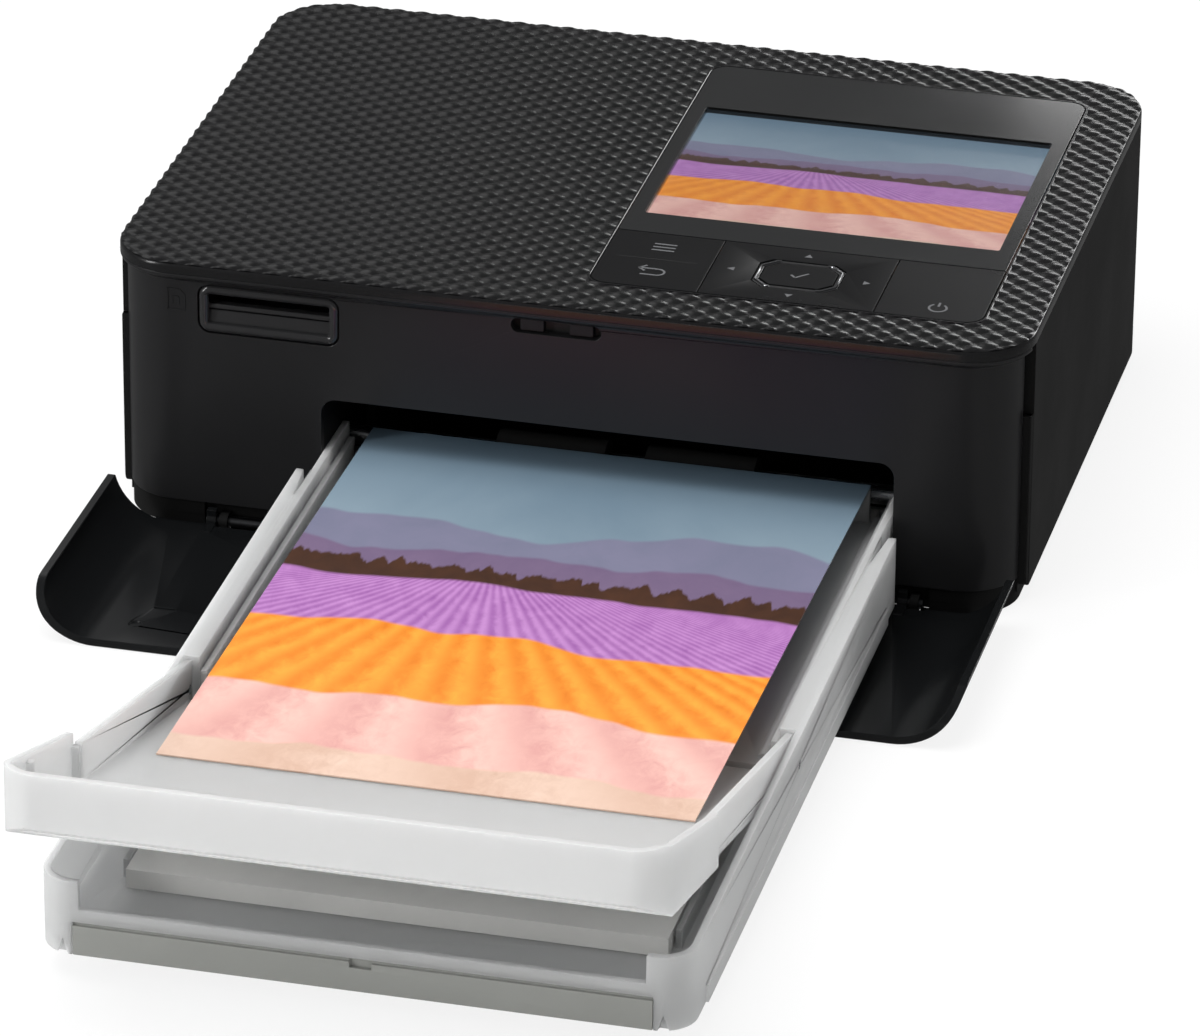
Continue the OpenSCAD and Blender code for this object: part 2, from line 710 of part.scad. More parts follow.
module cassette_base() place() color("#c9cacb") {
    front = -cas_l;
    difference() {
        union() {
            // floor and outer walls in front of the case
            intersection() {
                translate([0, 0, cas_z]) linear_extrude(cas_top - cas_z) tray_plan(0);
                block(0, body_w, front, -ear_y, cas_z, cas_top);
            }
            // ledge around the foot of the outer walls
            intersection() {
                translate([0, 0, cas_z]) linear_extrude(3.6) tray_plan(-0.5);
                block(0, body_w, front + 12, -ear_y - 8, cas_z, cas_top);
            }
            // part that goes into the case
            block(rail_x, rail_x + rail_w, -kink_y + 2, cas_in, cas_z + 0.7, cas_top);
        }
        difference() {
            translate([0, 0, cas_z + cas_t]) linear_extrude(cas_top) tray_plan(cas_t);
            block(0, body_w, -kink_y + 2, cas_in + 1, 0, cas_top + 1);
        }
        for (s = [0, 1]) translate([mid_x, 0, 0]) mirror([s, 0, 0]) {
            // channel under the broad top of the side wall
            block(rail_w / 2, cas_w / 2 - cas_t, -kink_y + 4, -ear_y - 14, 0, cas_top - cas_t);
            // upright V notch behind each ear
            translate([0, 0, cas_z + cas_t]) linear_extrude(cas_top) {
                polygon([[rail_w / 2 + 0.4, -ear_y - 11], [cas_w / 2 - cas_t, -ear_y + 1], [rail_w / 2, -ear_y + 1]]);
            }
        }
        block(rail_x + rail_t, rail_x + rail_w - rail_t, -kink_y, cas_in - 1.4, cas_z + cas_t, cas_top + 1);
        // low end that passes under the feed roller and its shaft
        block(0, body_w, feed_y - feed_r - 0.4, body_d, stack_top - 0.2, cas_top + 1);
        // seat of the grey bar
        block(cas_x + cas_r + 0.2, cas_x + cas_w - cas_r - 0.2, front - 1, front + 3.6, 0, cas_z + bar_h + 0.1);
        // low middle of the front wall
        block(cas_x + cas_r + 1.5, cas_x + cas_w - cas_r - 1.5, front - 1, front + cas_r, cas_top - 5.5, cas_top + 1);
        // V notch at the foot of each front corner
        for (x = [cas_x + cas_r - 1.6, cas_x + cas_w - cas_r + 1.6]) {
            deep(front - 1, front + 1.2) polygon([[x - 1.3, cas_z - 1], [x + 1.3, cas_z - 1], [x, cas_z + 3]]);
        }
        rod(cas_x - 1, cas_x + cas_w + 1, -kink_y, pivot_z, lid_pin_r + run_gap);
    }
    // stops that keep the sheets in the middle
    for (x = [mid_x - print_w / 2 - 1.6, mid_x + print_w / 2 + 0.4]) {
        block(x, x + 1.2, -150, -20, cas_z + cas_t - eps, stack_top);
    }
}

module cassette_bar() place() color("#838480") {
    x0 = cas_x + cas_r + 0.3;
    x1 = cas_x + cas_w - cas_r - 0.3;
    front = -cas_l;
    difference() {
        union() {
            block(x0, x1, front, front + 3.4, cas_z, cas_z + bar_h - 0.6);
            block(x0, x1, front + 0.5, front + 3.4, cas_z, cas_z + bar_h);
        }
        block(mid_x - 2, mid_x + 2, front - 1, front + 0.8, cas_z + bar_h - 1.8, cas_z + bar_h + 1);
    }
}

// lid over the paper, with the trough in which the print lies
module cassette_lid() place() color("#cfd0d1") {
    z0 = lid_floor - lid_t;
    y1 = print_rear;
    difference() {
        union() {
            block(lid_x, lid_x + lid_w, -kink_y + 1.6, y1, z0, lid_floor);
            for (x = [lid_x, lid_x + lid_w - 1.2]) {
                block(x, x + 1.2, -kink_y + 1.6, y1, z0, cas_top - 2.6);
            }
            for (x = [lid_x + 3.4, lid_x + lid_w - 3.4]) rod_y(x, -kink_y + 4, y1, lid_floor, 0.9);
            block(mid_x - print_w / 2, mid_x + print_w / 2, y1 - 1.2, y1, z0, print_rear_z - 0.05);
        }
        // gap for the middle of the feed roller
        block(mid_x - 12, mid_x + 12, y1 - 8, y1 + 1, 0, body_h);
    }
}

// cylinder along Y at x, z
module rod_y(x, y0, y1, z, r) {
    translate([x, y1, z]) rotate([90, 0, 0]) cylinder(r = r, h = y1 - y0);
}

// local frame of the front lid: s runs forward along the slope from the hinge
module sloped() {
    translate([0, -kink_y, lid_floor]) rotate([-lid_slope, 0, 0]) children();
}

module cassette_front_lid() place() color("#d3d4d5") {
    wall_h = 7.4;
    floor_l = (ear_front - kink_y) / cos(lid_slope);
    lip_top = lid_floor + (reach - kink_y) * tan(lid_slope) + lip_h;
    ear_top = lid_floor + (ear_front - kink_y) * tan(lid_slope) + 9.2;
    difference() {
        union() {
            sloped() {
                block(tray_x, tray_x + tray_w, -floor_l - 2, -1.2, -lid_t, 0);
                for (x = [tray_x, tray_x + tray_w - cas_t]) block(x, x + cas_t, -floor_l - 2, 2, -lid_t, wall_h);
            }
            // ears, lip and the floor between them, over the full width of the cassette
            difference() {
                intersection() {
                    translate([cas_x, -reach, 0]) linear_extrude(body_h + 20) rrect(cas_w, 80, cas_r);
                    block(0, body_w, -reach - 1, -ear_front, 0, body_h + 20);
                    lid_side(ear_top, lip_top);
                }
                intersection() {
                    translate([cas_x + cas_t, -reach + cas_t, 0]) {
                        linear_extrude(body_h + 20) rrect(cas_w - 2 * cas_t, 80, cas_r - cas_t);
                    }
                    sloped() block(0, body_w, -reach, 0, 0, body_h);
                }
            }
            // web that joins each ear to the wall beside it
            for (x = [cas_x + 0.6, tray_x + tray_w - cas_t + 0.4]) {
                block(x, x + tray_x - cas_x + cas_t - 1, -ear_front - cas_t - 0.3, -ear_front - 0.3,
                    ear_top - 9.5, ear_top - 2);
            }
            // small rib inside the lip and a peg on each ear
            block(61, 61.8, -reach + cas_t - 0.3, -reach + cas_t + 0.5, lip_top - 7, lip_top - 2.5);
            for (x = [cas_x + cas_t + 0.6, cas_x + cas_w - cas_t - 0.6]) {
                translate([x, -reach + 14, lip_top - 9]) cylinder(r = 0.9, h = 4);
            }
        }
        for (x = [tray_x - 1, tray_x + tray_w - cas_t - 1]) rod(x, x + cas_t + 2, -kink_y, pivot_z, lid_pin_r);
        // room for the rails of the base at the hinge
        block(0, body_w, -kink_y + 1.4, 0, 0, body_h);
    }
}

// side view of the ears and the lip
module lid_side(ear_top, lip_top) {
    under = lid_t / cos(lid_slope) + 0.2;
    z0 = lid_floor + (ear_front - kink_y) * tan(lid_slope);
    z1 = lid_floor + (reach - kink_y) * tan(lid_slope);
    across(0, body_w) {
        polygon([[-ear_front, z0 - under], [-ear_front, ear_top], [-reach + 3, lip_top], [-reach - 1, lip_top],
            [-reach - 1, z1 + 2.4], [-reach + 0.5, z1 + 0.9], [-reach + 2.5, z1 - 0.7],
            [-reach + 6, z1 - 6 * tan(lid_slope) - under]]);
    }
}

module lid_pins() place() color("#b9babb") {
    rod(cas_x + 0.1, tray_x + cas_t, -kink_y, pivot_z, lid_pin_r);
    rod(tray_x + tray_w - cas_t, cas_x + cas_w - 0.1, -kink_y, pivot_z, lid_pin_r);
}

module paper_stack() place() color("#f1f0ec") {
    y1 = cas_in - 1.6;
    block(mid_x - print_w / 2, mid_x + print_w / 2, y1 - sheet_l, y1, stack_z, stack_top);
}

module photo_print() place() color("#c9b6c6") {
    tilt = atan((print_front_z - print_rear_z) / print_l);
    translate([mid_x - print_w / 2, print_rear, print_rear_z]) rotate([-tilt, 0, 0]) {
        translate([0, -print_l, 0]) cube([print_w, print_l, print_t]);
    }
}

// dark walls and roof of the paper bay behind the front opening
module paper_bay() place() color("#151516") {
    paper_guide();
    x0 = open_x - 1.7;
    x1 = open_x + open_w + 1.7;
    y0 = front_y + wall + 0.1;
    y1 = capstan_y - capstan_teeth * gear_m / 2 - 4.2;
    difference() {
        block(x0, x1, y0, y1, pan_z + 0.1, open_z + 2);
        block(x0 + 1.6, x1 - 1.6, y0 - 1, y1 + 1, 0, open_z + 0.4);
        rod(x0 - 1, x1 + 1, feed_y, feed_z, shaft_r + 0.4);
    }
    // sloping guide ribs under the roof
    for (i = [0:6]) {
        x = open_x + 9 + i * 16;
        across(x, x + 1.2) polygon([[y0 + 6, open_z + 1], [y1, open_z + 1], [y1, path_z + 2.2], [y1 - 4, path_z + 2.2]]);
    }
}

module paper_guide() {
    y0 = feed_y + feed_r + 3;
    y1 = capstan_y - capstan_r - 1.2;
    block(open_x + 1, open_x + open_w - 1, y0, y1, path_z - 2.4, path_z - 1.2);
    for (x = [open_x + 1, open_x + open_w - 3]) block(x, x + 2, y0 + 3, y1, pan_z + 0.1, path_z - 2.4 + eps);
}

// roller along X with its shaft: rubber from x0 to x1
module tyre(x0, x1, y, z, r) {
    difference() {
        rod(x0, x1, y, z, r);
        rod(x0 - 1, x1 + 1, y, z, shaft_r);
    }
}

module feed_roller() place() color("#2b2b2c") {
    for (x = [mid_x - 26, mid_x + 4]) tyre(x, x + 22, feed_y, feed_z, feed_r);
}

module feed_shaft() place() color("#b4b6b9") {
    rod(gear_x, plate_x[1] + 3, feed_y, feed_z, shaft_r);
}

module capstan_roller() place() color("#b4b6b9") {
    rod(gear_x, plate_x[1] + 3, capstan_y, capstan_z, shaft_r);
    rod(mid_x - print_w / 2 - 4, mid_x + print_w / 2 + 4, capstan_y, capstan_z, capstan_r);
}

module pinch_roller() place() color("#2f2f30") {
    pinch_shaft();
    difference() {
        rod(mid_x - 54, mid_x + 54, capstan_y, pinch_z, pinch_r);
        rod(mid_x - 60, mid_x + 60, capstan_y, pinch_z, 1.2);
    }
}

module pinch_shaft() {
    rod(plate_x[0] - 1, plate_x[1] + 3, capstan_y, pinch_z, 1.2);
}

module platen_roller() place() color("#313132") {
    platen_shaft();
    tyre(mid_x - 55, mid_x + 55, platen_y, platen_z, platen_r);
}

module platen_shaft() {
    rod(plate_x[0] - 1, plate_x[1] + 3, platen_y, platen_z, shaft_r);
}

// side plate of the chassis at x with the bores that both plates share
module side_plate(x) {
    difference() {
        block(x, x + sheet_t, 10, chassis_end, pan_z + 0.05, board_z - 2.2);
        rod(x - 1, x + 3, feed_y, feed_z, shaft_r + run_gap);
        rod(x - 1, x + 3, capstan_y, capstan_z, shaft_r + run_gap);
        rod(x - 1, x + 3, capstan_y, pinch_z, 1.2 + run_gap);
        rod(x - 1, x + 3, platen_y, platen_z, shaft_r + run_gap);
        // slot in which the axle of the print head rises
        block(x - 1, x + 3, platen_y - shaft_r - 0.1, platen_y + shaft_r + 0.1, axle_z, axle_z + head_lift + 0.1);
        rod(x - 1, x + 3, platen_y, axle_z, shaft_r + 0.1);
        rod(x - 1, x + 3, platen_y, axle_z + head_lift + 0.1, shaft_r + 0.1);
        block(x - 1, x + 3, chassis_end - 18, chassis_end - 6, 10, 24);
    }
}

module chassis_left() place() color("#a3a6a9") {
    difference() {
        side_plate(plate_x[0]);
        rod(plate_x[0] - 1, plate_x[0] + 3, spool_y[0], spool_z, shaft_r + run_gap);
        rod(plate_x[0] - 1, plate_x[0] + 3, spool_y[1], spool_z, shaft_r + run_gap);
        block(plate_x[0] - 1, plate_x[0] + 3, 0, reader_y + reader_l + 0.5, card_z - 3, body_h);
    }
}

module chassis_right() place() color("#a3a6a9") {
    difference() {
        side_plate(plate_x[1]);
        for (y = spool_y) rod(plate_x[1] - 1, plate_x[1] + 3, y, spool_z, tube_r + 0.3);
        block(plate_x[1] - 1, plate_x[1] + 3, eject_y - 8, eject_y + 4, 32.4, 35.6);
    }
}

module chassis_ties() place() color("#979a9d") {
    x0 = plate_x[0] + sheet_t;
    block(x0, plate_x[1], chassis_end - 16, chassis_end - 8, 44, 45.5);
    block(x0, plate_x[1], chassis_end - 16, chassis_end - 14.5, 38, 44 + eps);
    block(x0, plate_x[1], chassis_end - 22, chassis_end - 8, pan_z + 0.1, pan_z + 1.3);
    block(x0, plate_x[1], 76, 77.5, pan_z + 0.1, 14);
}

module print_head() place() color("#d8d4c8") {
    block(mid_x - 53, mid_x + 53, platen_y - 4, platen_y + 4, path_z + 0.5, path_z + 6);
}

module head_carrier() place() color("#3c3e40") {
    head_axle();
    difference() {
        union() {
            block(mid_x - 56, mid_x + 56, platen_y - 5.5, platen_y + 5.5, path_z + 6.05, path_z + 9);
            for (x = [mid_x - 56, mid_x + 53]) block(x, x + 3, platen_y - 4, platen_y + 4, path_z + 9 - eps, axle_z + 4);
        }
        rod(mid_x - 60, mid_x + 60, platen_y, axle_z, shaft_r);
    }
}

module head_axle() {
    rod(plate_x[0] - 1.5, plate_x[1] + 2, platen_y, axle_z, shaft_r);
}

module heat_sink() place() color("#9fa2a5") {
    difference() {
        block(mid_x - 50, mid_x + 50, platen_y - 5.5, platen_y + 5.5, path_z + 9.05, path_z + 11);
        rod(mid_x - 60, mid_x + 60, platen_y, axle_z, shaft_r + 0.3);
    }
    for (y = [-5.5, -3.7, 2.9, 4.7]) {
        block(mid_x - 50, mid_x + 50, platen_y + y, platen_y + y + 0.8, path_z + 11 - eps, axle_z + 5);
    }
}

// spur gear of n teeth, turned by a, with play between the teeth
module gear(n, a) {
    r = gear_m * n / 2;
    circle(r - 1.1 * gear_m, $fn = 4 * n);
    for (i = [0:n - 1]) rotate(a + i * 360 / n) {
        polygon([[r - 1.3 * gear_m, -0.9 * gear_m], [r, -0.66 * gear_m], [r + 0.9 * gear_m, -0.28 * gear_m],
            [r + 0.9 * gear_m, 0.28 * gear_m], [r, 0.66 * gear_m], [r - 1.3 * gear_m, 0.9 * gear_m]]);
    }
}

// gear at y, z in the gear plane, bored for its shaft
module gear_at(y, z, n, a, bore) {
    difference() {
        translate([gear_x, y, z]) rotate([90, 0, 90]) linear_extrude(gear_w) gear(n, a);
        rod(gear_x - 1, gear_x + gear_w + 1, y, z, bore);
    }
}

// angle of the line from the pinion to the feed gear, in the YZ plane
feed_angle = atan2(feed_z - motor_z, feed_y - motor_y);

module drive_pinion() place() color("#d9d6cc") {
    gear_at(motor_y, motor_z, pinion_z, 0, 0.9);
    rod(bracket_x - 8, gear_x + gear_w + 0.5, motor_y, motor_z, 1);
}

module capstan_gear() place() color("#e4e1d8") {
    gear_at(capstan_y, capstan_z, capstan_teeth, 180 + 180 / capstan_teeth, shaft_r);
}

// the pinion's tooth nearest the line to the feed gear fixes how that gear is turned
module feed_gear() place() color("#e4e1d8") {
    step = 360 / pinion_z;
    off = feed_angle - step * round(feed_angle / step);
    gear_at(feed_y, feed_z, feed_teeth, feed_angle + 180 + 180 / feed_teeth + off * pinion_z / feed_teeth, shaft_r);
}

module ribbon_pinion() place() color("#d9d6cc") {
    gear_at(ribbon_y, spool_z, pinion_z, 180, 0.9);
    rod(bracket_x - 8, gear_x + gear_w + 0.5, ribbon_y, spool_z, 1);
}

module takeup_gear() place() color("#e4e1d8") {
    gear_at(spool_y[0], spool_z, spool_teeth, 180 / spool_teeth, shaft_r);
}

// small motor lying along X, bored for the shaft of its pinion
module motor(y, z, r) {
    difference() {
        rod(bracket_x - 16, bracket_x - 0.05, y, z, r);
        rod(bracket_x - 8.3, bracket_x + 1, y, z, 1 + run_gap);
    }
}

module drive_motor() place() color("#8e9194") {
    motor(motor_y, motor_z, 10);
}

module ribbon_motor() place() color("#8e9194") {
    motor(ribbon_y, spool_z, 8);
}

module motor_bracket() place() color("#a9acaf") {
    difference() {
        block(bracket_x, bracket_x + bracket_t, 22, 76, 5, card_z - 2);
        for (p = [[motor_y, motor_z], [ribbon_y, spool_z]]) rod(bracket_x - 1, bracket_x + 3, p[0], p[1], 2.5);
    }
    for (p = posts) rod(bracket_x + bracket_t - eps, plate_x[0], p[0], p[1], 1.8);
}

// the two tubes of the ribbon cartridge, open below where the ribbon comes out, and their handle
module ribbon_shell() place() color("#4a4a4c") {
    x0 = plate_x[0] + sheet_t + 0.3;
    x1 = plate_x[1] + sheet_t + 2;
    difference() {
        union() {
            for (y = spool_y) rod(x0, x1, y, spool_z, tube_r);
            block(x1 - eps, x1 + 4, spool_y[0] - tube_r, spool_y[1] + tube_r, spool_z - tube_r, spool_z + tube_r);
        }
        for (y = spool_y) rod(x0 + 1.2, x1 - 1.2, y, spool_z, tube_r - 1.1);
        for (y = spool_y) rod(x0 - 1, x1 + 2, y, spool_z, shaft_r + run_gap);
        block(x0 + 3, plate_x[1] - 3, spool_y[0] - 2, spool_y[0] + tube_r + 1, spool_z - tube_r - 1, spool_z - 5);
        block(x0 + 3, plate_x[1] - 3, spool_y[1] - tube_r - 1, spool_y[1] + 2, spool_z - tube_r - 1, spool_z - 5);
        // finger grip
        block(x1 + 1.5, x1 + 5, spool_y[0] + 8, spool_y[1] - 8, spool_z - 5, spool_z + 5);
    }
}

// spool core with a wound roll of ribbon and a spindle at each end
module spool(y, x0, roll) {
    x1 = plate_x[1] + sheet_t + 2;
    rod(x0, x1 + 1.5, y, spool_z, shaft_r);
    rod(plate_x[0] + sheet_t + 2, x1 - 1.7, y, spool_z, 3.4);
    rod(mid_x - 52, mid_x + 52, y, spool_z, roll);
}

module takeup_spool() place() color("#55504c") {
    spool(spool_y[0], gear_x, 5);
}

module supply_spool() place() color("#6b5a2e") {
    spool(spool_y[1], plate_x[0] - 1, 7);
}

// dye film from the supply roll under the print head to the take-up roll
module ribbon_film() place() color("#7a5f2b") {
    t = 0.15;
    zb = path_z + 0.2;
    across(mid_x - 51, mid_x + 51) {
        polygon([[spool_y[0] + 1, spool_z - 5.6], [platen_y - 6, zb], [platen_y + 6, zb], [spool_y[1] - 1, spool_z - 7.6],
            [spool_y[1] - 1, spool_z - 7.6 + t], [platen_y + 6, zb + t], [platen_y - 6, zb + t],
            [spool_y[0] + 1, spool_z - 5.6 + t]]);
    }
}

module eject_lever() place() color("#5b5d60") {
    x0 = plate_x[1] + sheet_t + 0.1;
    block(x0, x0 + 2, eject_y - 9, eject_y + 2, 30, 38);
    block(x0, x0 + 6, eject_y - 9, eject_y - 7, 30, 38);
    rod(plate_x[1] - 1, x0 + eps, eject_y, 34, 1.5);
    rod(plate_x[1] - 2, plate_x[1] - 1 + eps, eject_y, 34, 2.2);
}

module main_board() place() color("#1f5238") {
    block(5.2, 6.8, 22, body_d - 16, pan_z + 0.1, 46);
}

module board_parts() place() color("#2d2e30") {
    capacitors();
    for (b = [[30, 12, 14, 14], [52, 10, 9, 12], [body_d - 43, 24, 16, 12], [72, 30, 8, 8]]) {
        block(6.85, 8.2, b[0], b[0] + b[2], b[1], b[1] + b[3]);
    }
}

module capacitors() {
    for (y = [53, 45, 37]) rod(6.85, 16, body_d - y, 16, 3);
}

top_cover();
screen_window();
lcd_panel();
panel_frame();
menu_key();
cross_key();
ok_collar();
ok_key();
power_key();
key_board();
front_case();
card_bezel();
card_reader();
latch_catch();
left_panel();
ink_door();
door_pins();
rear_case();
dust_flap();
dc_inlet();
usb_port();
base_pan();
rubber_feet();
case_screws();
front_flap();
flap_rods();
cassette_base();
cassette_bar();
cassette_lid();
cassette_front_lid();
lid_pins();
paper_stack();
photo_print();
paper_bay();
feed_roller();
feed_shaft();
capstan_roller();
pinch_roller();
platen_roller();
chassis_left();
chassis_right();
chassis_ties();
print_head();
head_carrier();
heat_sink();
drive_pinion();
capstan_gear();
feed_gear();
ribbon_pinion();
takeup_gear();
drive_motor();
ribbon_motor();
motor_bracket();
ribbon_shell();
takeup_spool();
supply_spool();
ribbon_film();
eject_lever();
main_board();
board_parts();
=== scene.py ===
import bpy
import bmesh
import math
from mathutils import Matrix, Vector


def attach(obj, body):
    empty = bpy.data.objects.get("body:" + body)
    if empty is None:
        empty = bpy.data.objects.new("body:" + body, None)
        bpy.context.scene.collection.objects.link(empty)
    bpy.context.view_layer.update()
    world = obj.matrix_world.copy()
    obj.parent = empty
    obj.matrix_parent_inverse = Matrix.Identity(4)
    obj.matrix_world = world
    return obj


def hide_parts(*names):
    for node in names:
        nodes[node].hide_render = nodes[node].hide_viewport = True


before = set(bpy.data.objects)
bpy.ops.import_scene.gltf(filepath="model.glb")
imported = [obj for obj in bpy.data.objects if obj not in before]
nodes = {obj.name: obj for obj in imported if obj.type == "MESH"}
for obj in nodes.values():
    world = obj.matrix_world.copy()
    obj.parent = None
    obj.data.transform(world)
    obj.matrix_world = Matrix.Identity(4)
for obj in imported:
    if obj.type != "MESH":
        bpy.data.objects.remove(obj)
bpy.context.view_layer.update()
print("frame loaded with", len(nodes), "nodes")

# places below are in millimetres from the lower front left corner of the case, as in the drawing;
# reach is how far the cassette stands out in front of it
case = {"width": 182.2, "depth": 133.0, "top": 57.0, "corner": 13.0, "reach": 197.7}
creaseAngle = 32  # degrees; edges that turn further stay sharp
softFrom = 35  # degrees; edges of the drawing that turn less aren't rounded
tiny = 1e-7  # metres; points closer than this count as one


def at(x, y, z):
    # the frame is in metres, with its origin in the middle of the whole object
    middleX, middleY = case["width"] / 2, (case["depth"] - case["reach"]) / 2
    return Vector(((x - middleX) / 1000, (y - middleY) / 1000, z / 1000))


def toLinear(hexText):
    # sRGB hex to the linear colour that a socket takes
    channels = [int(hexText[i:i + 2], 16) / 255 for i in (1, 3, 5)]
    return tuple(c / 12.92 if c <= 0.04045 else ((c + 0.055) / 1.055) ** 2.4 for c in channels) + (1.0,)


def addObject(name, data):
    made = bpy.data.objects.new(name, data)
    bpy.context.scene.collection.objects.link(made)
    return made


def addMesh(name, bm):
    # turns a finished bmesh into an object of the scene
    mesh = bpy.data.meshes.new(name)
    bm.to_mesh(mesh)
    bm.free()
    return addObject(name, mesh)


def feed(tree, node, inputs):
    # an input is given a value, or the socket that feeds it
    for key, value in inputs.items():
        if isinstance(value, bpy.types.NodeSocket):
            tree.links.new(value, node.inputs[key])
        else:
            node.inputs[key].default_value = value


def addNode(tree, kind, inputs=None, **settings):
    node = tree.nodes.new(kind)
    for name, value in settings.items():
        setattr(node, name, value)
    feed(tree, node, inputs or {})
    return node


def emptyTree(owner):
    # the node tree of a material or a world, with nothing in it yet
    owner.use_nodes = True
    owner.node_tree.nodes.clear()
    return owner.node_tree


# materials: one builder for each family of finish

noiseRange = {"From Min": 0.3, "From Max": 0.7}  # most of a noise lies between these


def startMaterial(name):
    # a shader to be fed, and the place on the object in mm for its patterns
    material = bpy.data.materials.new(name)
    tree = emptyTree(material)
    out = addNode(tree, "ShaderNodeOutputMaterial")
    shader = addNode(tree, "ShaderNodeBsdfPrincipled")
    tree.links.new(shader.outputs[0], out.inputs[0])
    inMetres = addNode(tree, "ShaderNodeTexCoord").outputs["Object"]
    spot = addNode(tree, "ShaderNodeVectorMath", {0: inMetres, "Scale": 1000}, operation="SCALE").outputs[0]
    return material, tree, shader, spot


def mouldedPlastic(name, colour, roughness, grain=0.5, depth=0.01, mottle=0.05, coat=0.0, specular=0.35):
    # eroded grain of that size and depth in mm; roughness and tone drift over about 30 mm from handling
    material, tree, shader, spot = startMaterial(name)
    fine = addNode(tree, "ShaderNodeTexNoise",
                   {"Vector": spot, "Scale": 1 / grain, "Detail": 3, "Roughness": 0.6})
    cloud = addNode(tree, "ShaderNodeTexNoise",
                    {"Vector": spot, "Scale": 0.035, "Detail": 4, "Roughness": 0.55})
    rough = addNode(tree, "ShaderNodeMapRange",
                    {**noiseRange, "Value": cloud.outputs["Fac"],
                     "To Min": roughness - mottle, "To Max": roughness + mottle})
    base = Vector(toLinear(colour)[:3])
    tone = addNode(tree, "ShaderNodeMix",
                   {"Factor": cloud.outputs["Fac"], "A": (*(base * 0.88), 1), "B": (*(base * 1.12), 1)},
                   data_type="RGBA")
    bump = addNode(tree, "ShaderNodeBump",
                   {"Strength": 0.35, "Distance": depth / 1000, "Height": fine.outputs["Fac"]})
    feed(tree, shader, {"Base Color": tone.outputs["Result"], "Roughness": rough.outputs[0],
                        "Normal": bump.outputs[0], "Specular IOR Level": specular, "Coat Weight": coat,
                        "Coat Roughness": 0.08, "IOR": 1.5})
    return material


def bareMetal(name, colour, roughness, spacing=2.5, brushed=False):
    # brushed metal has lines along X, that far apart in mm; other metal has clouds of that size
    material, tree, shader, spot = startMaterial(name)
    stretch = (0.02, 1, 1) if brushed else (1, 1, 1)
    turned = addNode(tree, "ShaderNodeMapping", {"Vector": spot, "Scale": stretch})
    lines = addNode(tree, "ShaderNodeTexNoise",
                    {"Vector": turned.outputs[0], "Scale": 1 / spacing, "Detail": 3})
    rough = addNode(tree, "ShaderNodeMapRange",
                    {**noiseRange, "Value": lines.outputs["Fac"],
                     "To Min": roughness * 0.75, "To Max": roughness * 1.3})
    bump = addNode(tree, "ShaderNodeBump",
                   {"Strength": 0.2, "Distance": 0.01 / 1000, "Height": lines.outputs["Fac"]})
    feed(tree, shader, {"Base Color": toLinear(colour), "Metallic": 1, "Roughness": rough.outputs[0],
                        "Normal": bump.outputs[0]})
    return material


def frostedPlastic(name, colour, roughness, clearness, milk, mottle=0.05, cloudiness=0.9):
    # light passes but is blurred by frost half a millimetre across, so what lies behind shows only faintly;
    # milk is how far light wanders inside, in mm, and cloudiness how much of it does
    material, tree, shader, spot = startMaterial(name)
    cloud = addNode(tree, "ShaderNodeTexNoise", {"Vector": spot, "Scale": 1 / 20, "Detail": 3})
    fine = addNode(tree, "ShaderNodeTexNoise", {"Vector": spot, "Scale": 2.2, "Detail": 2})
    rough = addNode(tree, "ShaderNodeMapRange",
                    {**noiseRange, "Value": cloud.outputs["Fac"],
                     "To Min": roughness - mottle, "To Max": roughness + mottle})
    bump = addNode(tree, "ShaderNodeBump",
                   {"Strength": 0.25, "Distance": 0.02 / 1000, "Height": fine.outputs["Fac"]})
    feed(tree, shader, {"Base Color": toLinear(colour), "Transmission Weight": clearness, "IOR": 1.2,
                        "Subsurface Weight": cloudiness, "Subsurface Radius": (1, 1, 1),
                        "Subsurface Scale": milk / 1000, "Roughness": rough.outputs[0],
                        "Normal": bump.outputs[0]})
    return material


# ABS moulded in a finely etched tool: satin black that draws broad soft highlights on the front corners
satinAbs = mouldedPlastic("satinAbs", "#1c1c1d", 0.34, grain=0.35, depth=0.008, specular=0.3)
# the same resin on the knurled cover, a little glossier so that each facet catches light
knurledAbs = mouldedPlastic("knurledAbs", "#101011", 0.24, grain=0.3, depth=0.002, mottle=0.03, specular=0.42)
# side panels and rear, a coarser and flatter black
mattAbs = mouldedPlastic("mattAbs", "#131313", 0.55, grain=0.45, depth=0.012, specular=0.12)
# inside of the flap, moulded against a nearly polished tool: deep black
polishedAbs = mouldedPlastic("polishedAbs", "#101112", 0.24, grain=0.6, depth=0.002, mottle=0.03)
# key plates, fine matt with a soft sheen
keyAbs = mouldedPlastic("keyAbs", "#101011", 0.3, grain=0.3, depth=0.004, mottle=0.03, specular=0.12)
# bevelled collar round the OK key, polished
collarAbs = mouldedPlastic("collarAbs", "#222223", 0.2, grain=0.8, depth=0.001, mottle=0.02, coat=0.5)
# unpolished dark plastic of the works, which swallows light
worksAbs = mouldedPlastic("worksAbs", "#131314", 0.55)
# front bar of the cassette, satin grey ABS
greyAbs = mouldedPlastic("greyAbs", "#8e8f8b", 0.42, grain=0.4, depth=0.008)
# ribbon cassette, dull dark grey polystyrene
ribbonStyrene = mouldedPlastic("ribbonStyrene", "#3d3e40", 0.4)
# gears of natural acetal: waxy off-white
naturalAcetal = mouldedPlastic("naturalAcetal", "#dedad0", 0.35, grain=0.8, depth=0.003)
# nitrile rubber of feet and rollers, ground, so matt and slightly dusty
nitrileRubber = mouldedPlastic("nitrileRubber", "#1c1c1c", 0.75, grain=0.25, depth=0.02, specular=0.3)
# circuit board under green solder mask, glossy and slightly wavy
solderMask = mouldedPlastic("solderMask", "#1c5a3c", 0.25, grain=1.5, coat=0.4)
